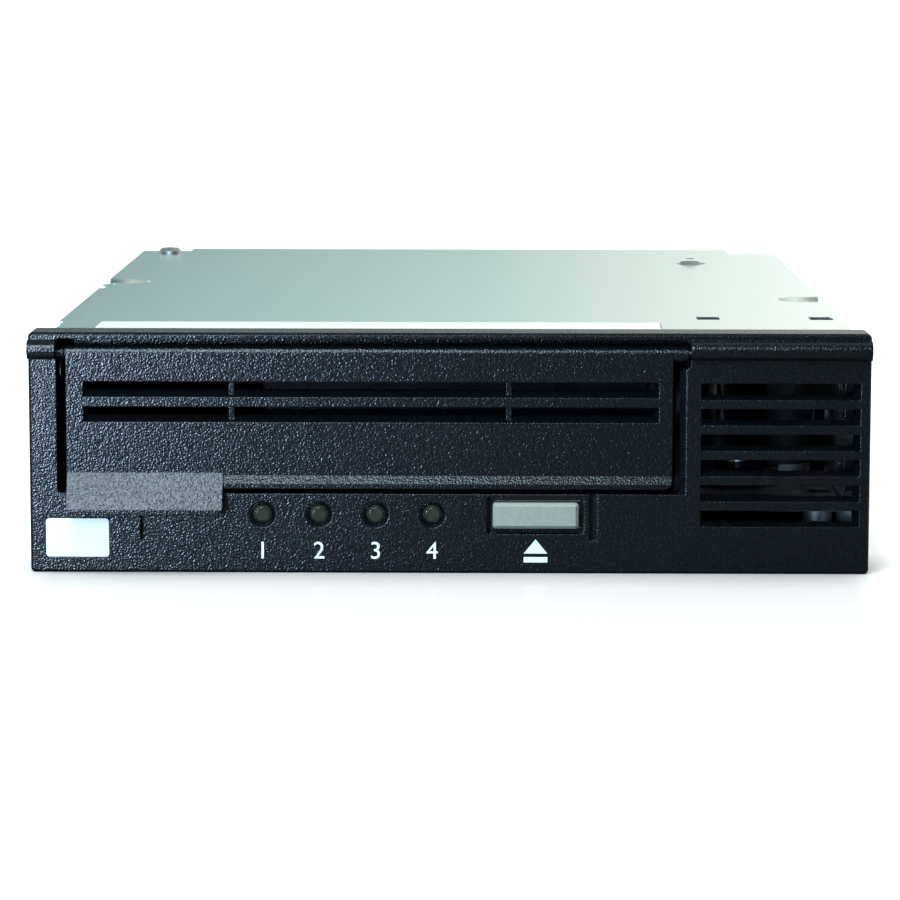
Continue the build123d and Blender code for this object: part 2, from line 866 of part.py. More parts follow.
# Eject button, its switch and the lights
def eject_button():
    """Button cap with bevelled edges and a keeper flange behind the bezel."""
    y0 = front_y - button_proud
    cap = round_panel(button_left_x, button_right_x, button_centre_z - button_height / 2,
                      button_centre_z + button_height / 2, button_fillet, y0, button_back_y)
    cap = chamfer(cap.faces().sort_by(Axis.Y)[0].edges(), button_fillet * button_edge_share)
    flange_y = front_y + skin + flat_gap
    flange = slab(button_left_x - flange_border, button_right_x + flange_border, flange_y,
                  flange_y + flange_thickness, button_centre_z - button_height / 2 - flange_border,
                  button_centre_z + button_height / 2 + flange_border)
    return cap + flange


def switch_plunger():
    """Stem that the button pushes into the switch."""
    y0 = front_y + skin + flat_gap + flange_thickness
    return lengthways(button_centre_x, y0, y0 + button_travel + switch_clear + plunger_hold,
                      button_centre_z,
                      plunger_radius)


def eject_switch():
    """Square switch body on the front panel board, bored for the plunger."""
    half = switch_size / 2
    body = slab(button_centre_x - half, button_centre_x + half, panel_y - switch_depth, panel_y,
                button_centre_z - half, button_centre_z + half)
    return body - lengthways(button_centre_x, panel_y - switch_depth, panel_y - switch_clear / 2,
                             button_centre_z, plunger_radius + running_gap)


def status_light(index):
    """One light: lens with a bevelled nose through the bezel, on a base that stands on the board."""
    x = light_first_x + index * light_pitch
    lens = lengthways(x, front_y + light_sink - light_dome, front_y + skin, light_z, light_radius)
    lens = chamfer(lens.edges().sort_by(Axis.Y)[0], light_dome)
    return lens + lengthways(x, front_y + skin, panel_y, light_z, light_base_radius)


def front_panel_board():
    """Board behind the lower face, carrying the lights and the eject switch."""
    return slab(panel_left_x, panel_left_x + panel_width, panel_y, panel_y + panel_thickness,
                panel_bottom_z, panel_top_z)


# Chassis
def chassis_outline(inset, start_y):
    """Plan of the chassis, stepped in at both rear corners, moved inward by inset."""
    half = half_chassis - inset
    middle = rear_half_width - inset
    end_y = rear_y - inset
    return [
        (-half, start_y),
        (half, start_y),
        (half, end_y - right_step),
        (middle, end_y - right_step),
        (middle, end_y),
        (-middle, end_y),
        (-middle, end_y - left_step),
        (-half, end_y - left_step),
    ]


def mount_rows():
    """Front and rear rows of the mounting holes."""
    return (-hole_span_y / 2, hole_span_y / 2)


def board_feet():
    """Places of the embossed feet under the main board."""
    x = board_half_width - 2 * board_foot_radius
    front = board_front_y + 2 * board_foot_radius
    rear = fan_front_y - board_fan_margin - 2 * board_foot_radius
    return ((-x, front), (x, front), (-x, rear), (x, rear))


def fan_grille():
    """Ring slots of the fan opening in the rear wall."""
    y0 = rear_y - sheet - flat_gap
    y1 = rear_y + flat_gap
    outer = fan_size / 2 - fan_wall
    step = outer / (fan_grille_rings + 1)
    cut = None
    for index in range(1, fan_grille_rings + 1):
        ring = lengthways(fan_centre_x, y0, y1, fan_centre_z, step * (index + 1))
        ring -= lengthways(fan_centre_x, y0, y1, fan_centre_z, step * index + fan_grille_bar)
        cut = ring if cut is None else cut + ring
    for turn in (45, 135):
        spoke = Box(fan_size, sheet + overrun, fan_grille_bar)
        cut -= Pos(fan_centre_x, rear_y, fan_centre_z) * Rot(0, turn, 0) * spoke
    return cut


def chassis_tray():
    """Sheet-metal floor, side walls and stepped rear wall, with the mounting holes and openings."""
    start_y = seam_y
    body = plan_prism(chassis_outline(0, start_y), 0, wall_top)
    body -= plan_prism(chassis_outline(sheet, start_y - overrun), sheet, wall_top + overrun)
    for x in (-hole_span_x / 2, hole_span_x / 2):
        for y in mount_rows():
            body += upright(x, y, sheet, sheet + floor_collar_reach, mount_hole_radius + collar_wall)
            body -= upright(x, y, -overrun, sheet + floor_collar_reach + flat_gap, mount_hole_radius)
    for side in (-1, 1):
        x_in = side * (inner_half - collar_reach)
        x_out = side * half_chassis
        for y in mount_rows():
            for z in (side_hole_low, side_hole_low + side_hole_rise):
                body += crossways(min(x_in, x_out), max(x_in, x_out), y, z, mount_hole_radius + collar_wall)
                body -= crossways(min(x_in, x_out) - flat_gap, max(x_in, x_out) + flat_gap, y, z,
                                  mount_hole_radius)
    for x, y in board_feet():
        body += upright(x, y, sheet, board_z, board_foot_radius)
    # Post that takes the rear left cover screw
    body += upright(left_screw_x, left_screw_y, sheet, wall_top - screw_dimple_drop, left_boss_radius)
    body -= upright(left_screw_x, left_screw_y,
                    wall_top - screw_dimple_drop - screw_shank_length - loose_gap,
                    wall_top, screw_shank_radius)
    # Windows in the rear wall: connector, fan grille and fan screws
    port_z = board_top_z
    body -= slab(port_left_x - port_window_border, port_left_x + port_width + port_window_border,
                 rear_y - sheet - overrun, rear_y + overrun, port_z - port_window_border,
                 port_z + port_height + port_window_border)
    body -= fan_grille()
    for dx in (-1, 1):
        for dz in (-1, 1):
            offset = fan_size / 2 - fan_screw_inset
            body -= lengthways(fan_centre_x + dx * offset, rear_y - sheet - flat_gap, rear_y + flat_gap,
                               fan_centre_z + dz * offset, fan_screw_radius)
    return body


def edge_dimple(side, middle_y, drop, top_z, height):
    """Half-round pressing at a side edge: a tapered half ellipse, drop deep, closed at the wall."""
    wall_x = side * half_chassis
    upper = Ellipse(dimple_reach, dimple_length / 2)
    lower = Ellipse(dimple_reach - dimple_slope, dimple_length / 2 - dimple_slope)
    top = Pos(wall_x, middle_y, top_z) * upper
    low = Pos(wall_x, middle_y, top_z - drop) * lower
    cone = loft([low, top])
    keep_x = sorted((wall_x, wall_x - side * (dimple_reach + overrun)))
    keep = slab(keep_x[0], keep_x[1], middle_y - dimple_length, middle_y + dimple_length,
                top_z - height, top_z)
    return cone & keep


def top_cover():
    """Sheet-metal lid: stepped down over the mouth, dimpled at the edges, lips inside the walls."""
    start_y = seam_y
    body = plan_prism(chassis_outline(0, start_y), wall_top, chassis_height)
    lip_x = inner_half - flat_gap
    for side in (-1, 1):
        x0, x1 = sorted((side * lip_x, side * (lip_x - sheet)))
        end_y = rear_y - sheet - (left_step if side < 0 else right_step) - flat_gap
        body += slab(x0, x1, cover_lip_start_y, end_y, wall_top - cover_lip_height, wall_top)
    # Stepped-down area over the cartridge mouth, with a sloping rear edge
    ramp = [
        (start_y - overrun, chassis_height + overrun),
        (start_y - overrun, chassis_height - ramp_drop),
        (front_y + ramp_start, chassis_height - ramp_drop),
        (front_y + ramp_end, chassis_height),
        (front_y + ramp_end, chassis_height + overrun),
    ]
    under = [
        (start_y, wall_top),
        (start_y, wall_top - ramp_drop),
        (front_y + ramp_start, wall_top - ramp_drop),
        (front_y + ramp_end, wall_top),
    ]
    body += side_prism(under, ramp_left_x - sheet, ramp_right_x + sheet)
    body -= side_prism(ramp, ramp_left_x, ramp_right_x)
    # Pressings at the side edges, each with an arch-shaped hole at the wall
    for side, depth in ((-1, left_dimple_depth), (1, right_dimple_depth)):
        middle_y = front_y + depth
        shell = edge_dimple(side, middle_y, dimple_drop + sheet, chassis_height - flat_gap,
                            dimple_drop + sheet)
        inner_x = sorted((side * (inner_half - flat_gap - sheet), side * overrun))
        shell = shell & slab(inner_x[0], inner_x[1], middle_y - dimple_length, middle_y + dimple_length,
                             wall_top - dimple_drop, chassis_height)
        body += shell
        body -= edge_dimple(side, middle_y, dimple_drop, chassis_height, dimple_drop)
        body -= upright(side * half_chassis, middle_y, wall_top - dimple_drop - overrun, chassis_height,
                        dimple_hole_radius)
    # Dimple and hole of the screw over the deck
    body += upright(right_screw_x, right_screw_y, wall_top - screw_dimple_drop, wall_top,
                    screw_dimple_radius + sheet)
    cone = Cone(screw_dimple_radius - screw_dimple_drop, screw_dimple_radius, screw_dimple_drop,
                align=(Align.CENTER, Align.CENTER, Align.MIN))
    body -= Pos(right_screw_x, right_screw_y, chassis_height - screw_dimple_drop) * cone
    body -= upright(right_screw_x, right_screw_y, wall_top - overrun, chassis_height,
                    screw_shank_radius + flat_gap)
    body += upright(left_screw_x, left_screw_y, wall_top - screw_dimple_drop, wall_top, left_boss_radius)
    body -= upright(left_screw_x, left_screw_y, wall_top - overrun, chassis_height + overrun,
                    screw_shank_radius + flat_gap)
    # Slots near the front right corner and notches along the left edge
    for x in (slot_inner_x, slot_outer_x):
        body -= slab(x, x + slot_width, front_y + slot_depth - slot_length / 2,
                     front_y + slot_depth + slot_length / 2, wall_top - overrun, chassis_height + overrun)
    body -= slab(-half_chassis - overrun, -half_chassis + notch_reach, start_y - overrun,
                 start_y + notch_length, wall_top - flat_gap, chassis_height + overrun)
    notch_y = front_y + side_notch_depth
    body -= slab(-half_chassis - overrun, -half_chassis + notch_reach, notch_y - side_notch_length / 2,
                 notch_y + side_notch_length / 2, wall_top - flat_gap, chassis_height + overrun)
    return body


def cover_screw(x, y, seat_z):
    """Screw with a bevelled head and a plain shank."""
    head = upright(x, y, seat_z, seat_z + screw_head_height, screw_head_radius)
    head = chamfer(head.edges().group_by(Axis.Z)[-1], screw_head_height / 2)
    return head + upright(x, y, seat_z - screw_shank_length, seat_z, screw_shank_radius)


# Electronics
def main_board():
    """Board under the deck, cut away at the rear right for the fan."""
    rear = rear_y - sheet - board_rear_margin
    side_rear = fan_front_y - board_fan_margin
    half = board_half_width
    middle = fan_left_x - board_fan_margin
    left = -rear_half_width + board_fan_margin
    outline = [
        (-half, board_front_y),
        (half, board_front_y),
        (half, side_rear),
        (middle, side_rear),
        (middle, rear),
        (left, rear),
        (left, side_rear),
        (-half, side_rear),
    ]
    body = plan_prism(outline, board_z, board_top_z)
    for y in deck_post_rows:
        for side in (-1, 1):
            body -= upright(side * deck_post_x, y, board_z - flat_gap, board_top_z + flat_gap,
                            deck_post_radius + loose_gap)
    return body


def board_chips():
    """Packages soldered on the main board."""
    half_length = (fan_front_y - board_fan_margin - board_front_y) / 2
    middle_y = board_front_y + half_length
    chips = []
    for x_share, y_share, width_share, length_share in chip_places_share:
        x = x_share * board_half_width
        y = middle_y + y_share * half_length
        half_x = width_share * board_half_width / 2
        half_y = length_share * board_half_width / 2
        chips.append(slab(x - half_x, x + half_x, y - half_y, y + half_y, board_top_z,
                          board_top_z + chip_height))
    return chips


def rear_connector():
    """Shell open to the rear with a tongue that carries the contacts, keyed near one end."""
    y1 = rear_y
    y0 = y1 - port_depth
    x0 = port_left_x
    x1 = port_left_x + port_width
    z0 = board_top_z
    z1 = board_top_z + port_height
    body = slab(x0, x1, y0, y1, z0, z1)
    body -= slab(x0 + port_wall, x1 - port_wall, y0 + 2 * port_wall, y1 + flat_gap, z0 + port_wall,
                 z1 - port_wall)
    middle_z = (z0 + z1) / 2
    tongue = slab(x0 + 2 * port_wall, x1 - 2 * port_wall, y0 + port_wall, y1 - port_wall,
                  middle_z - port_tongue_height / 2, middle_z + port_tongue_height / 2)
    key_x = x0 + port_width / 2
    tongue -= slab(key_x, key_x + port_key_width, y0 + 3 * port_wall, y1, z0, z1)
    return body + tongue


def ribbon_sockets():
    """The two sockets that take the ribbon, one on each board."""
    x0 = bay_centre_x - ribbon_width / 2 - socket_height / 2
    x1 = bay_centre_x + ribbon_width / 2 + socket_height / 2
    panel_back = panel_y + panel_thickness
    front = slab(x0, x1, panel_back, panel_back + socket_depth, board_top_z, board_top_z + socket_height)
    rear = slab(x0, x1, board_front_y + flat_gap, board_front_y + socket_depth,
                board_top_z, board_top_z + socket_height)
    return front, rear


def panel_ribbon():
    """Flat ribbon between the two sockets."""
    middle_z = board_top_z + socket_height / 2
    return slab(bay_centre_x - ribbon_width / 2, bay_centre_x + ribbon_width / 2,
                panel_y + panel_thickness + socket_depth, board_front_y + flat_gap,
                middle_z - ribbon_thickness / 2, middle_z + ribbon_thickness / 2)


# Deck
def deck_plate():
    """Cast plate on six posts, with stiffening ribs, seats for the motors and the cover post."""
    half = inner_half - deck_side_gap
    body = slab(-half, half, deck_front_y, deck_rear_y, deck_z, deck_top_z)
    for side in (-1, 1):
        for y in mount_rows():
            x0, x1 = sorted((side * half, side * (half - deck_notch_depth)))
            body -= slab(x0 - flat_gap, x1 + flat_gap, y - deck_notch_length / 2, y + deck_notch_length / 2,
                         deck_z - flat_gap, deck_top_z + flat_gap)
        for y in deck_post_rows:
            body += upright(side * deck_post_x, y, sheet, deck_z, deck_post_radius)
            body -= upright(side * deck_post_x, y, deck_top_z - deck_screw_length - loose_gap, deck_top_z,
                            deck_screw_radius)
            body -= upright(side * deck_post_x, y, deck_top_z - deck_screw_head_height,
                            deck_top_z + flat_gap,
                            deck_screw_head_radius + flat_gap)
    # Ribs under the plate, between the posts
    rib_x = deck_post_x - deck_post_radius - deck_rib_width
    for y in deck_post_rows:
        body += slab(-rib_x, rib_x, y - deck_rib_width / 2, y + deck_rib_width / 2,
                     deck_z - deck_rib_height, deck_z)
    # Ring seat of the loader motor, open towards the gear
    seat = upright(pinion_x, pinion_y, deck_top_z, motor_seat_z, motor_seat_bore + motor_seat_wall)
    seat -= upright(pinion_x, pinion_y, deck_top_z, motor_seat_z, motor_seat_bore)
    gear_reach = gear_radius + gear_module + loose_gap
    seat -= upright(gear_x, gear_y, deck_top_z, motor_seat_z, gear_reach)
    body += seat
    body += upright(right_screw_x, right_screw_y, deck_top_z, wall_top - screw_dimple_drop,
                    screw_boss_radius)
    body -= upright(right_screw_x, right_screw_y,
                    wall_top - screw_dimple_drop - screw_shank_length - loose_gap, wall_top,
                    screw_shank_radius)
    for x, y in roller_places:
        body += upright(x, y, deck_top_z, roller_bottom_z - loose_gap, roller_seat_radius)
    return body


def deck_screw(x, y):
    """Cap screw sunk in the deck, down into a post."""
    shank_top = deck_top_z - deck_screw_head_height
    head = upright(x, y, shank_top, deck_top_z, deck_screw_head_radius)
    return head + upright(x, y, deck_top_z - deck_screw_length, shank_top, deck_screw_radius)


# Cartridge loader
def cartridge_tray():
    """Cage of thin sheet: open front, window in the top, hole for the hub, tape window at the right."""
    x0 = tray_left_x
    x1 = tray_right_x
    body = slab(x0, x1, tray_front_y, tray_rear_y, tray_floor_z, tray_top_z)
    body -= slab(x0 + tray_sheet, x1 - tray_sheet, tray_front_y - overrun, tray_rear_y - tray_sheet,
                 tray_inner_z, tray_top_z - tray_sheet)
    body -= slab(x0 + tray_lip, x1 - tray_lip, tray_front_y + tray_lip, tray_rear_y - tray_lip,
                 tray_top_z - tray_sheet - flat_gap, tray_top_z + overrun)
    body -= upright(bay_centre_x, supply_y, tray_floor_z - overrun, tray_inner_z + flat_gap,
                    tray_hub_hole_radius)
    body -= slab(x1 - tray_sheet - flat_gap, x1 + overrun, tray_rear_y - tape_window_length,
                 tray_rear_y - tape_window_margin, tray_inner_z + tape_window_margin,
                 tray_top_z - tray_sheet - tape_window_margin)
    return body


def tray_pins():
    """Four steel pins that ride in the cam slots and the rail slots."""
    pins = []
    for y in tray_pin_rows:
        pins.append(crossways(left_rail_x - rail_thickness_side, tray_left_x, y, tray_pin_z,
                              tray_pin_radius))
        pins.append(crossways(tray_right_x, right_rail_x + rail_thickness_side, y, tray_pin_z,
                              tray_pin_radius))
    return pins


def cam_slot(x0, x1, pin_y, travel_y, travel_z):
    """Straight slot with round ends, from the pin's rest place along the given travel."""
    radius = tray_pin_radius + slot_clearance
    end_y = pin_y + travel_y
    end_z = tray_pin_z + travel_z
    length = math.hypot(travel_y, travel_z)
    across_y = -travel_z / length * radius
    across_z = travel_y / length * radius
    run = side_prism([
        (pin_y + across_y, tray_pin_z + across_z),
        (end_y + across_y, end_z + across_z),
        (end_y - across_y, end_z - across_z),
        (pin_y - across_y, tray_pin_z - across_z),
    ], x0, x1)
    return run + crossways(x0, x1, pin_y, tray_pin_z, radius) + crossways(x0, x1, end_y, end_z, radius)


def cam_slide(x0):
    """Flat slide with two sloping slots that lower the tray as it moves back."""
    x1 = x0 + slide_thickness
    body = slab(x0, x1, slide_front_y, slide_rear_y, slide_low_z, slide_high_z)
    for y in tray_pin_rows:
        body -= cam_slot(x0 - flat_gap, x1 + flat_gap, y, -slide_travel, -tray_drop)
    middle_y = (tray_pin_rows[0] + tray_pin_rows[1]) / 2
    window = slide_high_z - slide_low_z
    body -= slab(x0 - flat_gap, x1 + flat_gap, middle_y - window / 2, middle_y + window / 2,
                 slide_low_z + window / 4, slide_high_z - window / 4)
    return body


def tooth_outline(pitch):
    """Half widths of a straight-flanked tooth at tip and root."""
    spread = math.tan(math.radians(gear_flank_angle)) * gear_module
    half = pitch * gear_tooth_share / 2
    return half - gear_addendum_share * spread, half + gear_dedendum_share * spread


def cam_slide_right():
    """Right slide, which also carries the rack."""
    body = cam_slide(right_slide_x)
    body += slab(right_slide_x + slide_thickness, rack_back_x, rack_front_y, rack_rear_y,
                 gear_z, slide_low_z + gear_face / 2)
    body += slab(right_slide_x, right_slide_x + slide_thickness, rack_front_y, rack_rear_y, gear_z,
                 slide_low_z)
    pitch = math.pi * gear_module
    tip, root = tooth_outline(pitch)
    tip_x = rack_pitch_x + gear_module * gear_addendum_share
    count = int((rack_rear_y - rack_front_y) / pitch)
    first = math.ceil((rack_front_y - gear_y) / pitch + 1 / 2)
    for index in range(first, first + count - 1):
        y = gear_y + (index + 1 / 2) * pitch
        tooth = [(rack_back_x - flat_gap, y - root), (tip_x, y - tip), (tip_x, y + tip),
                 (rack_back_x - flat_gap, y + root)]
        if y + root < rack_rear_y:
            body += plan_prism(tooth, gear_z, gear_z + gear_face)
    return body


def gear_wheel(x, y, teeth, phase, z0, bore):
    """Spur gear with straight flanks; phase is the direction of one tooth in degrees."""
    radius = gear_module * teeth / 2
    root_radius = radius - gear_module * gear_dedendum_share
    tip_radius = radius + gear_module * gear_addendum_share
    tip, root = tooth_outline(math.pi * gear_module)
    body = upright(x, y, z0, z0 + gear_face, root_radius)
    sunk = root_radius - gear_module / 2
    for index in range(teeth):
        turn = phase + index * 360 / teeth
        tooth = plan_prism([(sunk, -root), (root_radius, -root), (tip_radius, -tip), (tip_radius, tip),
                            (root_radius, root), (sunk, root)], 0, gear_face)
        body += Pos(x, y, z0) * Rot(0, 0, turn) * tooth
    return body - upright(x, y, z0 - flat_gap, z0 + gear_face + flat_gap, bore)


def loader_gear():
    """Large loader gear with a raised hub, on its post."""
    bore = gear_post_radius + running_gap
    body = gear_wheel(gear_x, gear_y, gear_teeth, 0, gear_z, bore)
    hub = upright(gear_x, gear_y, gear_z + gear_face, gear_z + gear_face + gear_hub_rise, gear_hub_radius)
    return body + (hub - upright(gear_x, gear_y, gear_z, gear_z + gear_face + 2 * gear_hub_rise, bore))


def loader_gear_post():
    """Post of the loader gear, with a shoulder below and a cap above."""
    top_z = gear_z + gear_face + gear_hub_rise + flat_gap
    body = upright(gear_x, gear_y, deck_top_z, gear_z - flat_gap, gear_hub_radius)
    body += upright(gear_x, gear_y, deck_top_z, top_z, gear_post_radius)
    return body + upright(gear_x, gear_y, top_z, top_z + flat_gap + rail_thickness_side, gear_hub_radius)


def motor_pinion():
    """Small gear on the loader motor's shaft."""
    step = 360 / pinion_teeth
    phase = (pinion_angle + 180) % step
    body = gear_wheel(pinion_x, pinion_y, pinion_teeth, phase, gear_z, loader_motor_shaft)
    return body + upright(pinion_x, pinion_y, gear_z, motor_seat_z + loader_motor_length / 4,
                          loader_motor_shaft)


def loader_motor():
    """Can motor standing on its ring seat, bored below for the shaft."""
    body = upright(pinion_x, pinion_y, motor_seat_z, motor_seat_z + loader_motor_length,
                   loader_motor_radius)
    for angle in (0, 180):
        offset = loader_motor_radius * motor_flat_share
        flat = slab(offset, offset + overrun, -loader_motor_radius, loader_motor_radius,
                    motor_seat_z - flat_gap, motor_seat_z + loader_motor_length + flat_gap)
        body -= Pos(pinion_x, pinion_y, 0) * Rot(0, 0, angle + pinion_angle) * flat
    top_z = motor_seat_z + loader_motor_length
    body += upright(pinion_x, pinion_y, top_z, top_z + motor_cap_height, motor_cap_radius)
    return body - upright(pinion_x, pinion_y, motor_seat_z - flat_gap,
                          motor_seat_z + loader_motor_length / 4 + loose_gap,
                          loader_motor_shaft + running_gap)


def guide_rail(x0, window):
    """Upright rail with a slot for each tray pin, and bent feet on the deck."""
    x1 = x0 + rail_thickness_side
    body = slab(x0, x1, rail_front_y, rail_rear_y, deck_top_z, rail_high_z)
    for y in tray_pin_rows:
        body -= cam_slot(x0 - flat_gap, x1 + flat_gap, y, 0, -tray_drop)
    if window:
        body -= slab(x0 - flat_gap, x1 + flat_gap, rail_front_y + rail_foot_width, rail_window_rear_y,
                     deck_top_z - flat_gap, rail_window_top_z)
    return body


# Reels and their motors
def supply_motor():
    """Flat motor on the deck under the cartridge, with its spindle."""
    body = upright(bay_centre_x, supply_y, deck_top_z, deck_top_z + supply_motor_height,
                   supply_motor_radius)
    top_z = deck_top_z + supply_motor_height + loose_gap + supply_hub_height
    return body + upright(bay_centre_x, supply_y, deck_top_z, top_z, spindle_radius)


def supply_hub():
    """Drive hub with a ring of face teeth that engages the cartridge's reel."""
    z0 = deck_top_z + supply_motor_height + loose_gap
    z1 = z0 + supply_hub_height
    body = upright(bay_centre_x, supply_y, z0, z1, supply_hub_radius)
    body += upright(bay_centre_x, supply_y, z1, z1 + supply_pilot_height, supply_pilot_radius)
    body = chamfer(body.edges().group_by(Axis.Z)[-1], supply_pilot_height / 3)
    length = supply_crown_outer - supply_crown_inner
    for index in range(supply_tooth_count):
        tooth = Pos((supply_crown_inner + supply_crown_outer) / 2, 0, supply_tooth_height / 2) * Box(
            length, supply_tooth_width, supply_tooth_height)
        body += Pos(bay_centre_x, supply_y, z1) * Rot(0, 0, index * 360 / supply_tooth_count) * tooth
    return body - upright(bay_centre_x, supply_y, z0 - flat_gap, z1 + running_gap,
                          spindle_radius + running_gap)


def take_up_motor():
    """Flat motor of the take-up reel, with its spindle."""
    body = upright(reel_x, reel_y, deck_top_z, deck_top_z + take_up_motor_height, take_up_motor_radius)
    top_z = deck_top_z + take_up_motor_height + reel_rise + reel_flange + reel_gap / 2
    return body + upright(reel_x, reel_y, deck_top_z, top_z, spindle_radius)


def take_up_reel():
    """Reel with two flanges, windows in the upper one, a recessed hub and a slot for the leader pin."""
    z0 = deck_top_z + take_up_motor_height + reel_rise
    z1 = z0 + reel_flange
    z2 = z1 + reel_gap
    z3 = z2 + reel_flange
    body = upright(reel_x, reel_y, z0, z1, reel_radius) + upright(reel_x, reel_y, z1, z2, reel_hub_radius)
    top = upright(reel_x, reel_y, z2, z3, reel_radius)
    middle = (reel_hub_radius + reel_radius) / 2
    window_length = (reel_radius - reel_hub_radius) * reel_window_share
    for index in range(reel_window_count):
        window = SlotOverall(window_length, reel_window_width / 2)
        cut = extrude(window, amount=3 * reel_flange)
        turn = Rot(0, 0, index * 360 / reel_window_count)
        top -= Pos(reel_x, reel_y, z2 - reel_flange) * turn * Pos(middle, 0, 0) * cut
    body += top
    recess = upright(reel_x, reel_y, z3 - reel_recess_depth, z3 + flat_gap,
                     reel_hub_radius - reel_recess_wall)
    recess -= upright(reel_x, reel_y, z3 - reel_recess_depth, z3, spindle_boss_radius)
    body -= recess
    slot = slab(reel_hub_radius - leader_slot_depth, reel_radius + overrun, -leader_slot_width / 2,
                leader_slot_width / 2, 0, z3 - z1 + overrun)
    body -= Pos(reel_x, reel_y, z1) * Rot(0, 0, -30) * slot
    return body - upright(reel_x, reel_y, z0 - flat_gap, z1 + reel_gap / 2 + loose_gap,
                          spindle_radius + running_gap)


# Tape path
def guide_roller(x, y):
    """Flanged roller with a closed crown, running on a fixed post."""
    profile = upright(x, y, roller_bottom_z, roller_top_z, roller_radius)
    profile += upright(x, y, roller_bottom_z, roller_bottom_z + roller_flange, roller_flange_radius)
    profile += upright(x, y, roller_top_z - roller_flange, roller_top_z, roller_flange_radius)
    return profile - upright(x, y, roller_bottom_z - flat_gap, roller_top_z - roller_crown,
                             roller_post_radius + running_gap)


def roller_post(x, y):
    """Plain post that a roller turns on."""
    return upright(x, y, roller_bottom_z - loose_gap, roller_top_z - roller_crown - flat_gap,
                   roller_post_radius)


def rod_places():
    """The two guide rods of the head, either side of the lead screw."""
    return (head_front_y + head_rod_inset, head_rear_y - head_rod_inset)


def head_frame():
    """C-shaped casting: foot on the deck, back wall, and top arm over the carriage."""
    x0 = head_frame_x
    x1 = head_frame_x + head_frame_width
    foot_z = deck_top_z + head_foot
    body = slab(x0, x1, head_front_y, head_rear_y, deck_top_z, head_arm_z + head_arm)
    body -= slab(x0 - overrun, head_wall_x, head_front_y - overrun, head_rear_y + overrun, foot_z,
                 head_arm_z)
    window = (head_rear_y - head_front_y) / 2
    middle_z = (foot_z + head_arm_z) / 2
    body -= slab(head_wall_x - flat_gap, x1 + flat_gap, head_centre_y - window / 2,
                 head_centre_y + window / 2,
                 middle_z - window / 2, middle_z + window / 2)
    for y in rod_places():
        body -= upright(rod_x, y, head_arm_z - flat_gap, head_arm_z + head_arm + flat_gap, head_rod_radius)
    return body - upright(rod_x, head_centre_y, head_arm_z - flat_gap, head_arm_z + head_arm + flat_gap,
                          lead_screw_radius + running_gap)


def head_guide_rods():
    """Two ground rods between the foot and the arm."""
    foot_z = deck_top_z + head_foot
    return [upright(rod_x, y, foot_z, head_arm_z + head_arm, head_rod_radius) for y in rod_places()]


def head_carriage():
    """Block that slides on the rods and is lifted by the lead screw."""
    middle_z = tape_z
    z0 = middle_z - carriage_height / 2
    z1 = middle_z + carriage_height / 2
    body = slab(carriage_front_x, carriage_back_x, head_front_y + carriage_end_gap,
                head_rear_y - carriage_end_gap,
                z0, z1)
    for y in rod_places():
        body -= upright(rod_x, y, z0 - flat_gap, z1 + flat_gap, head_rod_radius + running_gap)
    return body - upright(rod_x, head_centre_y, z0 - flat_gap, z1 + flat_gap,
                          lead_screw_radius + running_gap)


def tape_head():
    """Head block with a rounded contact face, crossed by two fine grooves."""
    x1 = carriage_front_x
    x0 = x1 - head_block_depth
    half_y = head_block_width
    z0 = tape_z - head_block_height / 2
    z1 = tape_z + head_block_height / 2
    body = slab(x0 + head_face_radius / 2, x1, head_centre_y - half_y, head_centre_y + half_y, z0, z1)
    for offset in (-half_y / 2, half_y / 2):
        nose = upright(x0 + head_face_radius, head_centre_y + offset, z0, z1, head_face_radius)
        keep = slab(x0, x0 + head_face_radius, head_centre_y + offset - half_y / 2,
                    head_centre_y + offset + half_y / 2, z0, z1)
        body += nose & keep
    for offset in (-half_y / 2, half_y / 2):
        body -= slab(x0 - flat_gap, x0 + head_slot_depth, head_centre_y + offset - head_slot_width / 2,
                     head_centre_y + offset + head_slot_width / 2, z0 - flat_gap, z1 + flat_gap)
    return body


def lead_screw():
    """Screw shaft that lifts the carriage."""
    foot_z = deck_top_z + head_foot
    return upright(rod_x, head_centre_y, foot_z, head_arm_z + head_arm, lead_screw_radius)


def head_motor():
    """Flat stepping motor on the arm."""
    z0 = head_arm_z + head_arm
    return upright(rod_x, head_centre_y, z0, z0 + head_motor_height, head_motor_radius)


# Threader
def threader_motor():
    """Slim geared motor that stands on the deck under the arm."""
    top_z = arm_z - flat_gap
    body = upright(threader_x, threader_y, deck_top_z, top_z, threader_motor_radius)
    return body + upright(threader_x, threader_y, top_z, arm_z + arm_thickness - flat_gap, arm_shaft_radius)


def threader_arm():
    """Flat arm, wider at its hub, that swings the grabber from the mouth to the reel."""
    z1 = arm_z + arm_thickness
    hub = upright(0, 0, arm_z, z1, arm_hub_radius)
    tip = upright(arm_length, 0, arm_z, z1, arm_width / 2)
    bar = plan_prism([(0, -arm_hub_radius), (arm_length, -arm_width / 2), (arm_length, arm_width / 2),
                      (0, arm_hub_radius)], arm_z, z1)
    window = plan_prism([(arm_length / 4, -arm_width / 5), (arm_length * 3 / 4, -arm_width / 5),
                         (arm_length * 3 / 4, arm_width / 5), (arm_length / 4, arm_width / 5)],
                        arm_z - flat_gap, z1 + flat_gap)
    body = hub + tip + bar - window
    body -= upright(0, 0, arm_z - flat_gap, z1 + flat_gap, arm_shaft_radius + running_gap)
    return Pos(threader_x, threader_y, 0) * Rot(0, 0, arm_rest_angle) * body


def grabber_pin():
    """Pin that hangs from the arm's tip and hooks the leader pin."""
    body = upright(arm_length, 0, grabber_bottom_z, arm_z, grabber_radius)
    body += upright(arm_length, 0, grabber_bottom_z, grabber_bottom_z + grabber_radius, grabber_hook)
    return Pos(threader_x, threader_y, 0) * Rot(0, 0, arm_rest_angle) * body


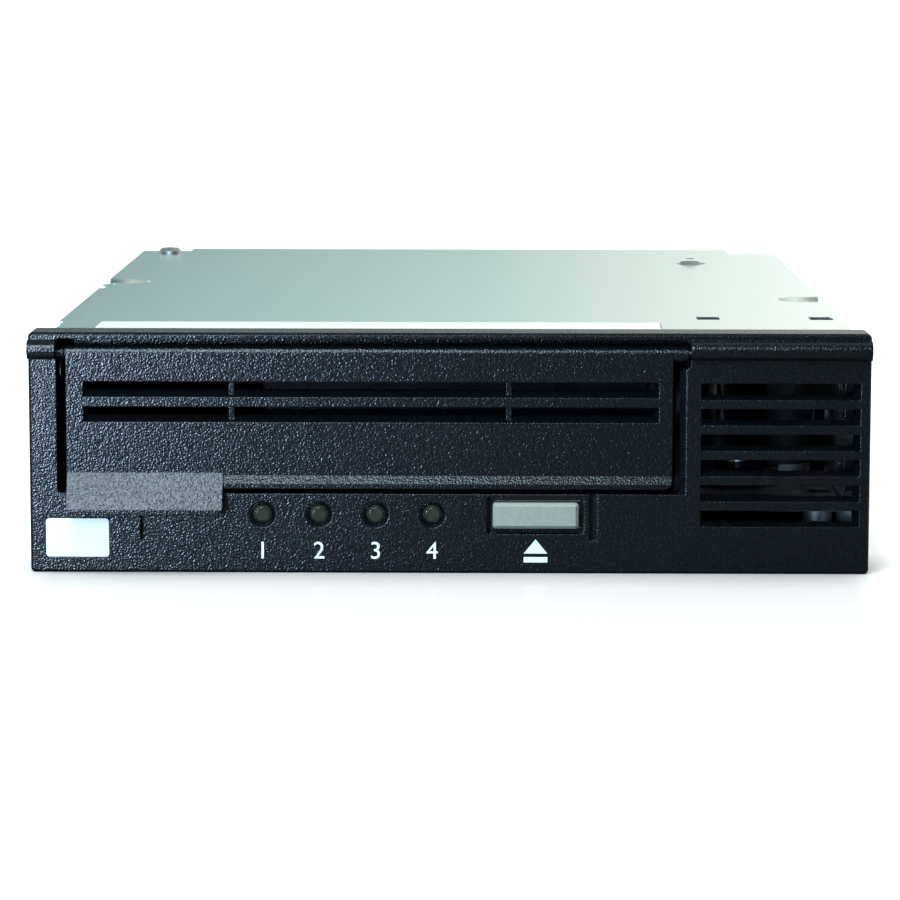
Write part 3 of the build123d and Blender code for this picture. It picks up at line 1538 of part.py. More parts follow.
# Fan
def fan_frame():
    """Square frame with a round duct, screw holes, and struts that hold the rotor's boss."""
    x0 = fan_left_x
    x1 = fan_left_x + fan_size
    body = slab(x0, x1, fan_front_y, fan_back_y, fan_bottom_z, fan_bottom_z + fan_size)
    duct = fan_size / 2 - fan_wall
    body -= lengthways(fan_centre_x, fan_front_y - flat_gap, fan_back_y + flat_gap, fan_centre_z, duct)
    strut_y = fan_front_y + fan_strut_depth / 2
    for turn in (45, 135):
        strut = Box(2 * duct + fan_wall / 2, fan_strut_depth, fan_strut_width)
        body += Pos(fan_centre_x, strut_y, fan_centre_z) * Rot(0, turn, 0) * strut
    body += lengthways(fan_centre_x, fan_front_y, fan_front_y + fan_strut_depth, fan_centre_z,
                       fan_hub_radius)
    body += lengthways(fan_centre_x, fan_front_y, fan_back_y - fan_strut_depth, fan_centre_z,
                       fan_shaft_radius)
    for dx in (-1, 1):
        for dz in (-1, 1):
            offset = fan_size / 2 - fan_screw_inset
            body -= lengthways(fan_centre_x + dx * offset, fan_front_y - flat_gap, fan_back_y + flat_gap,
                               fan_centre_z + dz * offset, fan_screw_radius)
    return body


def fan_rotor():
    """Cup-shaped rotor with seven pitched blades."""
    y0 = fan_front_y + fan_strut_depth + loose_gap
    y1 = fan_back_y - loose_gap
    body = lengthways(fan_centre_x, y0, y1, fan_centre_z, fan_hub_radius)
    tip = fan_size / 2 - fan_wall - 2 * loose_gap
    depth = (y1 - y0) * fan_blade_share
    for index in range(fan_blade_count):
        length = tip - fan_hub_radius + fan_hub_wall
        blade = Pos((fan_hub_radius - fan_hub_wall + tip) / 2, 0, 0) * Rot(fan_blade_twist, 0, 0) * Box(
            length, depth, fan_blade_thickness)
        body += Pos(fan_centre_x, (y0 + y1) / 2, fan_centre_z) * Rot(0, index * 360 / fan_blade_count,
                                                                     0) * blade
    keep = lengthways(fan_centre_x, y0, y1, fan_centre_z, tip)
    body = body & keep
    return body - lengthways(fan_centre_x, y0 - flat_gap, fan_back_y - fan_strut_depth + loose_gap,
                             fan_centre_z,
                             fan_shaft_radius + running_gap)


save("chassis_tray", chassis_tray())
save("top_cover", top_cover())
save("cover_screws",
     cover_screw(right_screw_x, right_screw_y, chassis_height - screw_dimple_drop),
     cover_screw(left_screw_x, left_screw_y, chassis_height))
save("front_bezel", front_bezel())
save("badge_plate", badge_plate())
save("cartridge_door", cartridge_door())
save("door_spring", door_spring())
save("eject_button", eject_button())
save("switch_plunger", switch_plunger())
save("eject_switch", eject_switch())
save("status_lights", *[status_light(index) for index in range(light_count)])
save("front_panel_board", front_panel_board())
save("main_board", main_board())
save("board_chips", *board_chips())
save("rear_connector", rear_connector())
save("ribbon_sockets", *ribbon_sockets())
save("panel_ribbon", panel_ribbon())
save("deck_plate", deck_plate())
save("deck_screws", *[deck_screw(side * deck_post_x, y) for side in (-1, 1) for y in deck_post_rows])
save("cartridge_tray", cartridge_tray())
save("tray_pins", *tray_pins())
save("cam_slide_left", cam_slide(left_slide_x - slide_thickness))
save("cam_slide_right", cam_slide_right())
save("guide_rail_left", guide_rail(left_rail_x - rail_thickness_side, False))
save("guide_rail_right", guide_rail(right_rail_x, True))
save("loader_gear", loader_gear())
save("loader_gear_post", loader_gear_post())
save("motor_pinion", motor_pinion())
save("loader_motor", loader_motor())
save("supply_motor", supply_motor())
save("supply_hub", supply_hub())
save("take_up_motor", take_up_motor())
save("take_up_reel", take_up_reel())
for number, (place_x, place_y) in enumerate(roller_places, start=1):
    save("guide_roller_" + str(number), guide_roller(place_x, place_y))
save("roller_posts", *[roller_post(place_x, place_y) for place_x, place_y in roller_places])
save("head_frame", head_frame())
save("head_guide_rods", *head_guide_rods())
save("head_carriage", head_carriage())
save("tape_head", tape_head())
save("lead_screw", lead_screw())
save("head_motor", head_motor())
save("threader_motor", threader_motor())
save("threader_arm", threader_arm())
save("grabber_pin", grabber_pin())
save("fan_frame", fan_frame())
save("fan_rotor", fan_rotor())
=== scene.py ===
import bmesh
import bpy
import math
from mathutils import Matrix, Vector


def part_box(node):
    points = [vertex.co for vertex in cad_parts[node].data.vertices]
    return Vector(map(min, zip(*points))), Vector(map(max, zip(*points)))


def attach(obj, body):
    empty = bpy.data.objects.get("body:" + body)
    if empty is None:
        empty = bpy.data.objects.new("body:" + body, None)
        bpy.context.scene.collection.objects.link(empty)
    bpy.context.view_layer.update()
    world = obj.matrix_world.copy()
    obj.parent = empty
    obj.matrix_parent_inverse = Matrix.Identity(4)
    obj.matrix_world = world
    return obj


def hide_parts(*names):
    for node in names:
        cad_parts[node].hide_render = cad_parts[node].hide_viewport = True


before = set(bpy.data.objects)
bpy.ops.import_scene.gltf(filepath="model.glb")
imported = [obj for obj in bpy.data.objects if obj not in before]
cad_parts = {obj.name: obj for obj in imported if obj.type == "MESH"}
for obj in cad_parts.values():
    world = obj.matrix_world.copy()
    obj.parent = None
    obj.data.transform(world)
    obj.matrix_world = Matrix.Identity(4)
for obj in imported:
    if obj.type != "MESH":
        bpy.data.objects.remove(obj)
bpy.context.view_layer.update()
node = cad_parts


# Chassis tray: one blank of galvanised sheet steel, folded up into floor, sides and stepped rear wall,
# with extruded collars round the mounting holes and a pierced ring grille for the fan. The zinc gives it
# a faint spangle, and the press leaves long fine scuffs.
class Finish:
    """A surface finish under construction: a principled shader with grain, tint and relief added to it."""

    def __init__(self, name, roughness, metal=0.0):
        self.material = bpy.data.materials.new(name)
        self.material.use_nodes = True
        self.nodes = self.material.node_tree.nodes
        self.links = self.material.node_tree.links
        self.shader = self.nodes["Principled BSDF"]
        self.shader.inputs["Roughness"].default_value = roughness
        self.shader.inputs["Metallic"].default_value = metal
        self.place = self.nodes.new("ShaderNodeTexCoord").outputs["Object"]
        self.height = None

    def stretched(self, across):
        """Object coordinates squeezed along each axis, for brushed and drawn surfaces."""
        mapping = self.nodes.new("ShaderNodeMapping")
        mapping.inputs["Scale"].default_value = across
        self.links.new(self.place, mapping.inputs["Vector"])
        return mapping.outputs["Vector"]

    def grain(self, size, detail=2.0, across=None):
        """Cloudy noise whose patches are about size wide, in metres."""
        noise = self.nodes.new("ShaderNodeTexNoise")
        noise.inputs["Scale"].default_value = 1.0 / size
        noise.inputs["Detail"].default_value = detail
        source = self.stretched(across) if across else self.place
        self.links.new(source, noise.inputs["Vector"])
        return noise.outputs["Fac"]

    def cells(self, size, feature="F1", across=None):
        """Crystal-like cells about size wide; the colour output differs from cell to cell."""
        voronoi = self.nodes.new("ShaderNodeTexVoronoi")
        voronoi.feature = feature
        voronoi.inputs["Scale"].default_value = 1.0 / size
        source = self.stretched(across) if across else self.place
        self.links.new(source, voronoi.inputs["Vector"])
        return voronoi

    def ramp(self, mask, stops):
        """Colour ramp over a mask, from (position, colour) stops."""
        ramp = self.nodes.new("ShaderNodeValToRGB")
        elements = ramp.color_ramp.elements
        while len(elements) < len(stops):
            elements.new(0.5)
        for element, (position, colour) in zip(elements, stops):
            element.position = position
            element.color = (*colour, 1.0)
        self.links.new(mask, ramp.inputs["Fac"])
        return ramp.outputs["Color"]

    def tint(self, mask, stops):
        """Base colour from a ramp over a mask."""
        self.links.new(self.ramp(mask, stops), self.shader.inputs["Base Color"])
        return self

    def wear(self, mask, low, high):
        """Roughness that varies between two values with a mask."""
        span = self.nodes.new("ShaderNodeMapRange")
        span.inputs["From Min"].default_value = 0.3
        span.inputs["From Max"].default_value = 0.7
        span.inputs["To Min"].default_value = low
        span.inputs["To Max"].default_value = high
        self.links.new(mask, span.inputs["Value"])
        self.links.new(span.outputs["Result"], self.shader.inputs["Roughness"])
        return self

    def relief(self, mask, depth, strength=1.0):
        """Bump of the given depth in metres, added on top of any relief before it."""
        bump = self.nodes.new("ShaderNodeBump")
        bump.inputs["Strength"].default_value = strength
        bump.inputs["Distance"].default_value = depth
        self.links.new(mask, bump.inputs["Height"])
        if self.height is not None:
            self.links.new(self.height, bump.inputs["Normal"])
        self.height = bump.outputs["Normal"]
        self.links.new(self.height, self.shader.inputs["Normal"])
        return self

    def eased(self, radius):
        """Edges that catch light as if broken by a small radius, in metres."""
        bevel = self.nodes.new("ShaderNodeBevel")
        bevel.samples = 6
        bevel.inputs["Radius"].default_value = radius
        self.height = bevel.outputs["Normal"]
        self.links.new(self.height, self.shader.inputs["Normal"])
        return self

    def dress(self, *names):
        """Give this finish to whole CAD nodes."""
        for name in names:
            slots = node[name].data.materials
            slots.clear()
            slots.append(self.material)
        return self


zinc = Finish("zinc_sheet", 0.36, 1.0).eased(0.00025)
spangle = zinc.cells(0.006).outputs["Color"]
zinc.tint(spangle, [(0.0, (0.50, 0.545, 0.54)), (1.0, (0.60, 0.645, 0.635))])
zinc.wear(zinc.grain(0.011, 3.0), 0.30, 0.44)
zinc.relief(zinc.grain(0.0012, 2.0, (1.0, 0.08, 1.0)), 0.000008, 0.5)
zinc.dress("chassis_tray")


# Main board and front panel board: glass-epoxy laminate under green solder mask, with copper tracks that
# raise it slightly. They stand on the embossed feet of the chassis and on the pegs of the bezel.
laminate = Finish("solder_mask", 0.30).eased(0.0001)
tracks = laminate.cells(0.0034, "DISTANCE_TO_EDGE", (1.0, 2.4, 1.0)).outputs["Distance"]
laminate.tint(tracks, [(0.0, (0.004, 0.055, 0.022)), (0.07, (0.008, 0.095, 0.040)),
                       (0.16, (0.006, 0.070, 0.030))])
laminate.relief(tracks, 0.00002, 0.6)
laminate.dress("main_board", "front_panel_board")


# Packages on the main board: chips in moulded black epoxy, soldered down flat. Their tops are matt and
# finely gritty from the mould.
epoxy = Finish("chip_epoxy", 0.62).eased(0.0001)
epoxy.tint(epoxy.grain(0.0008, 3.0), [(0.35, (0.012, 0.012, 0.013)), (0.65, (0.022, 0.022, 0.024))])
epoxy.relief(epoxy.grain(0.00025, 1.0), 0.00001, 0.6)
epoxy.dress("board_chips")


# Sockets, rear connector and fan: glass-filled black plastic off plain steel moulds, so it is smoother
# than the bezel, with a slight flow mark. The sockets and the connector are soldered to their boards.
black_plastic = Finish("black_plastic", 0.42).eased(0.00015)
black_plastic.tint(black_plastic.grain(0.005, 3.0),
                   [(0.35, (0.014, 0.015, 0.016)), (0.65, (0.024, 0.025, 0.027))])
black_plastic.relief(black_plastic.grain(0.0006, 2.0), 0.00001, 0.4)
black_plastic.dress("rear_connector", "ribbon_sockets", "fan_frame", "fan_rotor")


# Contacts of the rear connector: gold-plated strips on both faces of its tongue, with a gap where the key
# of the plug goes. They are pressed in from behind and stand less than a tenth of a millimetre off the
# plastic.
gold = Finish("contact_gold", 0.25, 1.0)
gold.tint(gold.grain(0.0008, 2.0), [(0.3, (0.78, 0.53, 0.20)), (0.7, (0.90, 0.64, 0.28))])
port_low, port_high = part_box("rear_connector")
port_wall = 0.0011
tongue_half = 0.00065
contact_width, contact_pitch, contact_rise, contact_root = 0.0007, 0.00127, 0.00008, 0.00002
contact_end_gap, contact_mouth_gap, contact_back_gap = 3.4 * port_wall, 1.6 * port_wall, 2.4 * port_wall
key_left_x, key_width, key_margin = (port_low.x + port_high.x) / 2, 0.003, 0.0003
strips = bmesh.new()
across = port_low.x + contact_end_gap
while across + contact_width < port_high.x - contact_end_gap:
    if not key_left_x - contact_pitch < across < key_left_x + key_width + key_margin:
        for side in (-1, 1):
            face_z = (port_low.z + port_high.z) / 2 + side * tongue_half
            corners = []
            for x in (across, across + contact_width):
                for y in (port_low.y + contact_back_gap, port_high.y - contact_mouth_gap):
                    for z in (face_z - side * contact_root, face_z + side * contact_rise):
                        corners.append(strips.verts.new((x, y, z)))
            bmesh.ops.convex_hull(strips, input=corners)
    across += contact_pitch
bmesh.ops.recalc_face_normals(strips, faces=strips.faces)
strip_mesh = bpy.data.meshes.new("port_contacts")
strips.to_mesh(strip_mesh)
strips.free()
strip_mesh.materials.append(gold.material)
contacts = bpy.data.objects.new("port_contacts", strip_mesh)
bpy.context.scene.collection.objects.link(contacts)
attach(contacts, "chassis")


# Eject switch and its plunger: pale nylon, soldered to the front panel board behind the button. It is
# moulded smooth, with a faint cloudiness.
pale_plastic = Finish("pale_plastic", 0.45).eased(0.00015)
pale_plastic.tint(pale_plastic.grain(0.004, 2.0), [(0.3, (0.62, 0.61, 0.56)), (0.7, (0.70, 0.69, 0.64))])
pale_plastic.relief(pale_plastic.grain(0.0005, 2.0), 0.00001, 0.4)
pale_plastic.dress("eject_switch", "switch_plunger")


# Loader gear and motor pinion: black acetal, moulded to finished tooth shape, with a slight waxy sheen.
# The pinion is pressed on the shaft of its motor, and the gear turns on its post.
acetal_and_shade = Finish("black_acetal_and_shade", 0.36).eased(0.00015)
# Near-black tint: partly the acetal's colour and partly painted shade, keeping the inside of the drive dark
# behind the vents.
acetal_and_shade.tint(acetal_and_shade.grain(0.004, 2.0), [(0.3, (0.010, 0.010, 0.011)), (0.7, (0.018, 0.018, 0.019))])
acetal_and_shade.relief(acetal_and_shade.grain(0.0005, 2.0), 0.00001, 0.4)
acetal_and_shade.dress("loader_gear", "motor_pinion")


# Ribbon between the two boards: parallel stranded wires in one thin grey jacket, ridged over each wire
# and crimped into a socket at each end.
jacket = Finish("ribbon_jacket", 0.5)
ridges = jacket.cells(0.00127, "F1", (1.0, 0.001, 0.001)).outputs["Distance"]
jacket.tint(ridges, [(0.0, (0.46, 0.47, 0.48)), (0.5, (0.30, 0.31, 0.32))])
jacket.relief(ridges, 0.0002, 0.8)
jacket.dress("panel_ribbon")


# Deck plate, head frame, head carriage and supply hub: die-cast aluminium, sand-grey and slightly pitted.
# The deck is screwed down over the main board and carries the rest.
casting = Finish("die_cast", 0.48, 0.9).eased(0.0003)
casting.tint(casting.grain(0.004, 4.0), [(0.3, (0.42, 0.43, 0.43)), (0.7, (0.54, 0.55, 0.55))])
casting.wear(casting.grain(0.009, 3.0), 0.40, 0.58)
casting.relief(casting.grain(0.0007, 3.0), 0.00003, 0.7)
casting.dress("deck_plate", "head_frame", "head_carriage", "supply_hub")


# Turned and ground steel pieces: pins, posts, guide rods, tape guide rollers and screws, bright and
# lightly oiled. They are pressed or screwed into the castings and the cartridge tray.
bright = Finish("bright_steel", 0.22, 1.0).eased(0.0001)
bright.tint(bright.grain(0.003, 3.0), [(0.3, (0.58, 0.58, 0.57)), (0.7, (0.68, 0.68, 0.67))])
bright.wear(bright.grain(0.0015, 3.0), 0.16, 0.30)
bright.dress("tray_pins", "head_guide_rods", "lead_screw", "roller_posts", "deck_screws",
             "door_spring", "guide_roller_1", "guide_roller_2", "guide_roller_3", "guide_roller_4",
             "loader_gear_post", "grabber_pin")


# Door spring: a torsion spring of hard-drawn wire round the left hinge pin, blued by its heat treatment.
# One leg lies against the door and the other reaches back into the drive, so that the door swings shut.
def wound(name, path, wire, finish):
    """A length of round wire bent along a path of points, as a mesh."""
    line = bpy.data.curves.new(name, "CURVE")
    line.dimensions = "3D"
    line.bevel_depth = wire / 2
    line.bevel_resolution = 3
    line.use_fill_caps = True
    spline = line.splines.new("POLY")
    spline.points.add(len(path) - 1)
    for point, place in zip(spline.points, path):
        point.co = (*place, 1.0)
    holder = bpy.data.objects.new(name, line)
    mesh = bpy.data.meshes.new_from_object(holder)
    bpy.data.objects.remove(holder)
    mesh.materials.clear()
    mesh.materials.append(finish.material)
    for face in mesh.polygons:
        face.use_smooth = True
    piece = bpy.data.objects.new(name, mesh)
    bpy.context.scene.collection.objects.link(piece)
    return piece


spring_low, spring_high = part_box("door_spring")
spring_wire = 0.00045
spring_radius = 0.00134
coil_radius = spring_radius - spring_wire / 2
spring_steel = Finish("spring_steel", 0.35, 1.0)
spring_steel.tint(spring_steel.grain(0.001, 2.0),
                  [(0.3, (0.040, 0.042, 0.046)), (0.7, (0.065, 0.068, 0.074))])
hinge_y, hinge_z = spring_high.y - spring_radius, spring_high.z - spring_radius
coil_start_x, coil_end_x = spring_low.x + spring_wire, spring_high.x - spring_wire
turns, steps_per_turn = 6, 20
coil = []
for step in range(turns * steps_per_turn + 1):
    angle = math.tau * step / steps_per_turn - math.pi / 2
    coil.append((coil_start_x + (coil_end_x - coil_start_x) * step / (turns * steps_per_turn),
                 hinge_y + coil_radius * math.cos(angle), hinge_z + coil_radius * math.sin(angle)))
front_leg = [(coil_start_x, spring_low.y + 0.3 * spring_wire, spring_low.z + spring_wire),
             (coil_start_x, hinge_y - 0.4 * coil_radius, hinge_z - 0.95 * coil_radius)]
back_leg = [(coil_end_x, hinge_y + 0.3 * coil_radius, hinge_z - coil_radius),
            (coil_end_x, spring_high.y - 0.5 * spring_wire, spring_low.z + spring_wire)]
spring = wound("door_spring_coil", front_leg + coil + back_leg, spring_wire, spring_steel)
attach(spring, "door")
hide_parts("door_spring")


# Lead screw: rolled steel with a fine thread, turned by the head motor. Its turning lifts and lowers the
# head carriage, so the thread is a true helix.
screw_low, screw_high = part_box("lead_screw")
crest = (screw_high.x - screw_low.x) / 2
root = crest - 0.00028
thread_pitch, rows_per_pitch, flank = 0.0008, 6, 3.0
around = 24
thread = bmesh.new()
rings = []
rows_up = round((screw_high.z - screw_low.z) / (thread_pitch / rows_per_pitch))
for row in range(rows_up + 1):
    height = screw_low.z + (screw_high.z - screw_low.z) * row / rows_up
    ring = []
    for step in range(around):
        phase = (height / thread_pitch - step / around) % 1.0
        reach = root + (crest - root) * max(0.0, 1.0 - abs(phase - 0.5) * flank)
        angle = math.tau * step / around
        ring.append(thread.verts.new(((screw_low.x + screw_high.x) / 2 + reach * math.cos(angle),
                                      (screw_low.y + screw_high.y) / 2 + reach * math.sin(angle), height)))
    rings.append(ring)
for lower, upper in zip(rings, rings[1:]):
    for step in range(around):
        after = (step + 1) % around
        thread.faces.new((lower[step], lower[after], upper[after], upper[step]))
thread.faces.new(list(reversed(rings[0])))
thread.faces.new(rings[-1])
thread_mesh = bpy.data.meshes.new("lead_screw_thread")
thread.to_mesh(thread_mesh)
thread.free()
thread_mesh.materials.append(bright.material)
threaded = bpy.data.objects.new("lead_screw_thread", thread_mesh)
bpy.context.scene.collection.objects.link(threaded)
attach(threaded, "screw")
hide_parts("lead_screw")


# Stamped pieces: cartridge tray, cam slides, guide rails and threader arm, pressed from sheet steel and
# blackened, with faint marks of the press along their length.
stamped_and_shade = Finish("stamped_steel_and_shade", 0.40, 1.0).eased(0.00015)
# Dark tint: partly the blackening and partly painted shade, so that the inside of the drive looks dark
# through the door's louvres.
stamped_and_shade.tint(stamped_and_shade.cells(0.004).outputs["Color"],
             [(0.0, (0.070, 0.074, 0.080)), (1.0, (0.10, 0.105, 0.11))])
stamped_and_shade.relief(stamped_and_shade.grain(0.001, 2.0, (1.0, 0.1, 1.0)), 0.000008, 0.5)
stamped_and_shade.dress("cartridge_tray", "cam_slide_left", "cam_slide_right", "guide_rail_left", "guide_rail_right",
              "threader_arm")


# Motors for the loader, both reels, the head and the threader: drawn steel cans under a near-black coat,
# fixed to the deck plate and the head frame.
motor_can_and_shade = Finish("motor_can_and_shade", 0.55).eased(0.0002)
# Near-black tint: partly the cans' coat and partly painted shade, keeping the inside of the drive dark
# behind the vents.
motor_can_and_shade.tint(motor_can_and_shade.grain(0.006, 2.0), [(0.3, (0.008, 0.008, 0.009)), (0.7, (0.015, 0.016, 0.018))])
motor_can_and_shade.relief(motor_can_and_shade.grain(0.0006, 2.0, (1.0, 1.0, 0.1)), 0.000008, 0.5)
motor_can_and_shade.dress("loader_motor", "supply_motor", "take_up_motor", "head_motor", "threader_motor")


# Take-up reel: two flanges and a hub moulded in smoky polycarbonate, satin, with windows to see the tape
# by. It turns on the shaft of its motor.
reel_moulding = Finish("reel_plastic", 0.38).eased(0.0002)
reel_moulding.tint(reel_moulding.grain(0.012, 2.0),
                   [(0.3, (0.050, 0.054, 0.060)), (0.7, (0.070, 0.074, 0.080))])
reel_moulding.relief(reel_moulding.grain(0.0005, 2.0), 0.00001, 0.4)
reel_moulding.dress("take_up_reel")


# Tape head: a lapped ceramic block with a dark, glassy face, glued to the head carriage so that the tape
# runs across it.
ceramic = Finish("head_ceramic", 0.12).eased(0.0001)
ceramic.tint(ceramic.grain(0.002, 3.0), [(0.3, (0.030, 0.028, 0.027)), (0.7, (0.045, 0.042, 0.040))])
ceramic.wear(ceramic.grain(0.001, 2.0), 0.08, 0.18)
ceramic.dress("tape_head")


# Front bezel and cartridge door: charcoal ABS moulded in a spark-eroded tool, so every face has a fine
# leathery grain whose tips catch the light, and faces that look upward stay matt when seen at a slant.
# The door's flared lip and the bezel are one colour.
charcoal = Finish("bezel_plastic", 0.42).eased(0.00028)
charcoal.tint(charcoal.grain(0.0006, 2.0),
              [(0.35, (0.0018, 0.0028, 0.0036)), (0.70, (0.0036, 0.0052, 0.0064))])
charcoal.wear(charcoal.grain(0.0005, 2.0), 0.22, 0.28)
charcoal.relief(charcoal.grain(0.00030, 0.3), 0.000075, 1.0)
facing = charcoal.nodes.new("ShaderNodeSeparateXYZ")
outward = charcoal.nodes.new("ShaderNodeNewGeometry")
charcoal.links.new(outward.outputs["True Normal"], facing.inputs["Vector"])
upper = charcoal.nodes.new("ShaderNodeMapRange")
upper.inputs["From Min"].default_value = 0.60
upper.inputs["From Max"].default_value = 0.95
charcoal.links.new(facing.outputs["Z"], upper.inputs["Value"])
matt_top = charcoal.nodes.new("ShaderNodeMapRange")
matt_top.inputs["To Min"].default_value = 0.45
matt_top.inputs["To Max"].default_value = 0.05
charcoal.links.new(upper.outputs["Result"], matt_top.inputs["Value"])
charcoal.links.new(matt_top.outputs["Result"], charcoal.shader.inputs["Specular IOR Level"])
charcoal.dress("front_bezel", "cartridge_door")


# Badge plate: thin anodised aluminium, finely brushed to a satin white-silver. It is stuck in its recess
# and left blank.
badge = Finish("badge_silver", 0.30, 0.35).eased(0.00015)
badge.tint(badge.grain(0.004, 2.0), [(0.3, (0.80, 0.81, 0.83)), (0.7, (0.88, 0.89, 0.90))])
badge.relief(badge.grain(0.0004, 1.0, (1.0, 1.0, 0.06)), 0.000006, 0.5)
badge.dress("badge_plate")


# Eject button: pale grey-green ABS, matt, moulded with a grain as fine as the bezel's. It slides in its
# recess and rests on the plunger of the switch.
button = Finish("button_plastic", 0.48).eased(0.0002)
button.tint(button.grain(0.0009, 2.0), [(0.3, (0.285, 0.29, 0.235)), (0.7, (0.315, 0.325, 0.265))])
button.relief(button.grain(0.0004, 1.5), 0.00003, 0.6)
button.dress("eject_button")


# Status lights: clear epoxy lenses, unlit, so they look a dark olive. They are soldered to the front
# panel board and stand in the countersunk holes of the bezel.
lens = Finish("light_lens", 0.14).eased(0.0002)
lens.tint(lens.grain(0.0009, 1.0), [(0.3, (0.018, 0.021, 0.014)), (0.7, (0.032, 0.036, 0.025))])
lens.relief(lens.grain(0.0012, 1.0), 0.00003, 0.4)
lens.shader.inputs["Coat Weight"].default_value = 0.6
lens.shader.inputs["Coat Roughness"].default_value = 0.05
lens.dress("status_lights")


# Top cover: galvanised sheet, skin-passed smooth, pressed down over the mouth with a long shallow ramp
# behind the bezel, pierced with two slots and dimpled at the edges. It is the solid's sheet with the top of
# the ramp and the slots moved back, and its skirts slip over the sides of the chassis tray.
lid = Finish("cover_steel", 0.18, 1.0).eased(0.0003)
lid.tint(lid.grain(0.0007, 2.0), [(0.3, (0.80, 0.895, 0.860)), (0.7, (0.835, 0.93, 0.895))])
lid.wear(lid.grain(0.0009, 2.0), 0.17, 0.195)
lid.relief(lid.grain(0.0005, 1.0), 0.0000004, 0.5)
ramp_x, solid_ramp_top_y, ramp_top_y = (-0.0663, 0.0399), -0.06702, -0.0590
slot_x, solid_slot_y, slot_y = (0.045, 0.073), (-0.0587, -0.0563), (-0.0532, -0.0478)
sheet = bmesh.new()
sheet.from_mesh(node["top_cover"].data)
bmesh.ops.remove_doubles(sheet, verts=sheet.verts, dist=0.000005)
bmesh.ops.dissolve_limit(sheet, angle_limit=0.005, verts=sheet.verts, edges=sheet.edges)
for corner in sheet.verts:
    across, along = corner.co.x, corner.co.y
    if ramp_x[0] < across < ramp_x[1] and abs(along - solid_ramp_top_y) < 0.0002:
        corner.co.y = ramp_top_y
    elif slot_x[0] < across < slot_x[1] and solid_slot_y[0] < along < solid_slot_y[1]:
        corner.co.y = slot_y[0] if along < sum(solid_slot_y) / 2 else slot_y[1]
bmesh.ops.triangulate(sheet, faces=[face for face in sheet.faces if len(face.verts) > 4])
bmesh.ops.recalc_face_normals(sheet, faces=sheet.faces)
cover_mesh = bpy.data.meshes.new("cover_sheet")
sheet.to_mesh(cover_mesh)
sheet.free()
cover_mesh.materials.append(lid.material)
cover = bpy.data.objects.new("cover_sheet", cover_mesh)
bpy.context.scene.collection.objects.link(cover)
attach(cover, "chassis")
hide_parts("top_cover")
lid.dress("top_cover")


# Cover screws: zinc-plated steel with flat round heads, sunk in their own dimples. They hold the cover down
# on two pillars of the chassis. Each head carries a flat near-black star a hair proud of it: painted shade
# in place of a star socket's recess.
plated = Finish("zinc_plated", 0.46, 1.0).eased(0.0002)
plated.tint(plated.grain(0.002, 3.0), [(0.3, (0.40, 0.44, 0.43)), (0.7, (0.48, 0.52, 0.51))])
plated.wear(plated.grain(0.0012, 2.0), 0.42, 0.52)
plated.dress("cover_screws")
# Painted shade of the star sockets: a near-black finish for the stars laid on the screw heads.
socket_shade = Finish("painted_socket_shade", 0.7, 0.6)
socket_shade.tint(socket_shade.grain(0.0003, 1.0), [(0.3, (0.010, 0.011, 0.011)), (0.7, (0.030, 0.032, 0.032))])
screws_low, screws_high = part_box("cover_screws")
head_radius = 0.0025
star_radius, star_points, star_depth, star_steps = 0.0010, 6, 0.16, 36
star_floor_share, star_rim_stand, star_floor_stand = 0.86, 0.00001, 0.000005
for index, middle in enumerate((Vector((screws_low.x + head_radius, screws_high.y - head_radius)),
                                Vector((screws_high.x - head_radius, screws_low.y + head_radius)))):
    star = bmesh.new()
    rim = []
    for step in range(star_steps):
        angle = math.tau * step / star_steps
        reach = star_radius * (1.0 + star_depth * math.cos(star_points * angle))
        rim.append(star.verts.new((middle.x + reach * math.cos(angle), middle.y + reach * math.sin(angle),
                                   screws_high.z + star_rim_stand)))
    floor_ring = [star.verts.new((middle.x + (corner.co.x - middle.x) * star_floor_share,
                                  middle.y + (corner.co.y - middle.y) * star_floor_share,
                                  screws_high.z + star_floor_stand)) for corner in rim]
    for step in range(star_steps):
        after = (step + 1) % star_steps
        star.faces.new((rim[step], rim[after], floor_ring[after], floor_ring[step]))
    star.faces.new(floor_ring)
    star_mesh = bpy.data.meshes.new(f"painted_socket_shade_{index + 1}")
    star.to_mesh(star_mesh)
    star.free()
    star_mesh.materials.append(socket_shade.material)
    painted_recess = bpy.data.objects.new(f"painted_socket_shade_{index + 1}", star_mesh)
    bpy.context.scene.collection.objects.link(painted_recess)
    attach(painted_recess, "chassis")


# Marks printed on the bezel: plain numerals 1 to 4 under the lights, and the eject sign under the button,
# in white pad-printing ink a few hundredths of a millimetre thick.
ink = Finish("white_ink", 0.5)
ink.tint(ink.grain(0.0006, 2.0), [(0.3, (0.80, 0.84, 0.85)), (0.7, (0.90, 0.93, 0.94))])
ink_thickness = 0.00004
badge_stand = 0.00015
face_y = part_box("badge_plate")[0].y + badge_stand
light_low, light_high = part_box("status_lights")
button_low, button_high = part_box("eject_button")
light_radius = 0.00165
numeral_height, numeral_foot_z, height_in_type = 0.0031, 0.0026, 0.71


def printed(name, mesh):
    """A printed mark as its own object on the chassis."""
    mark = bpy.data.objects.new(name, mesh)
    bpy.context.scene.collection.objects.link(mark)
    mark.data.materials.clear()
    mark.data.materials.append(ink.material)
    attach(mark, "chassis")


def raised(outline_points, name):
    """A flat printed shape from its outline in (x, z), standing off the face by the ink's thickness."""
    mesh = bpy.data.meshes.new(name)
    form = bmesh.new()
    front = [form.verts.new((x, face_y - ink_thickness, z)) for x, z in outline_points]
    back = [form.verts.new((x, face_y + ink_thickness, z)) for x, z in outline_points]
    form.faces.new(front)
    form.faces.new(list(reversed(back)))
    for index in range(len(front)):
        after = (index + 1) % len(front)
        form.faces.new((front[index], back[index], back[after], front[after]))
    bmesh.ops.recalc_face_normals(form, faces=form.faces)
    form.to_mesh(mesh)
    form.free()
    printed(name, mesh)


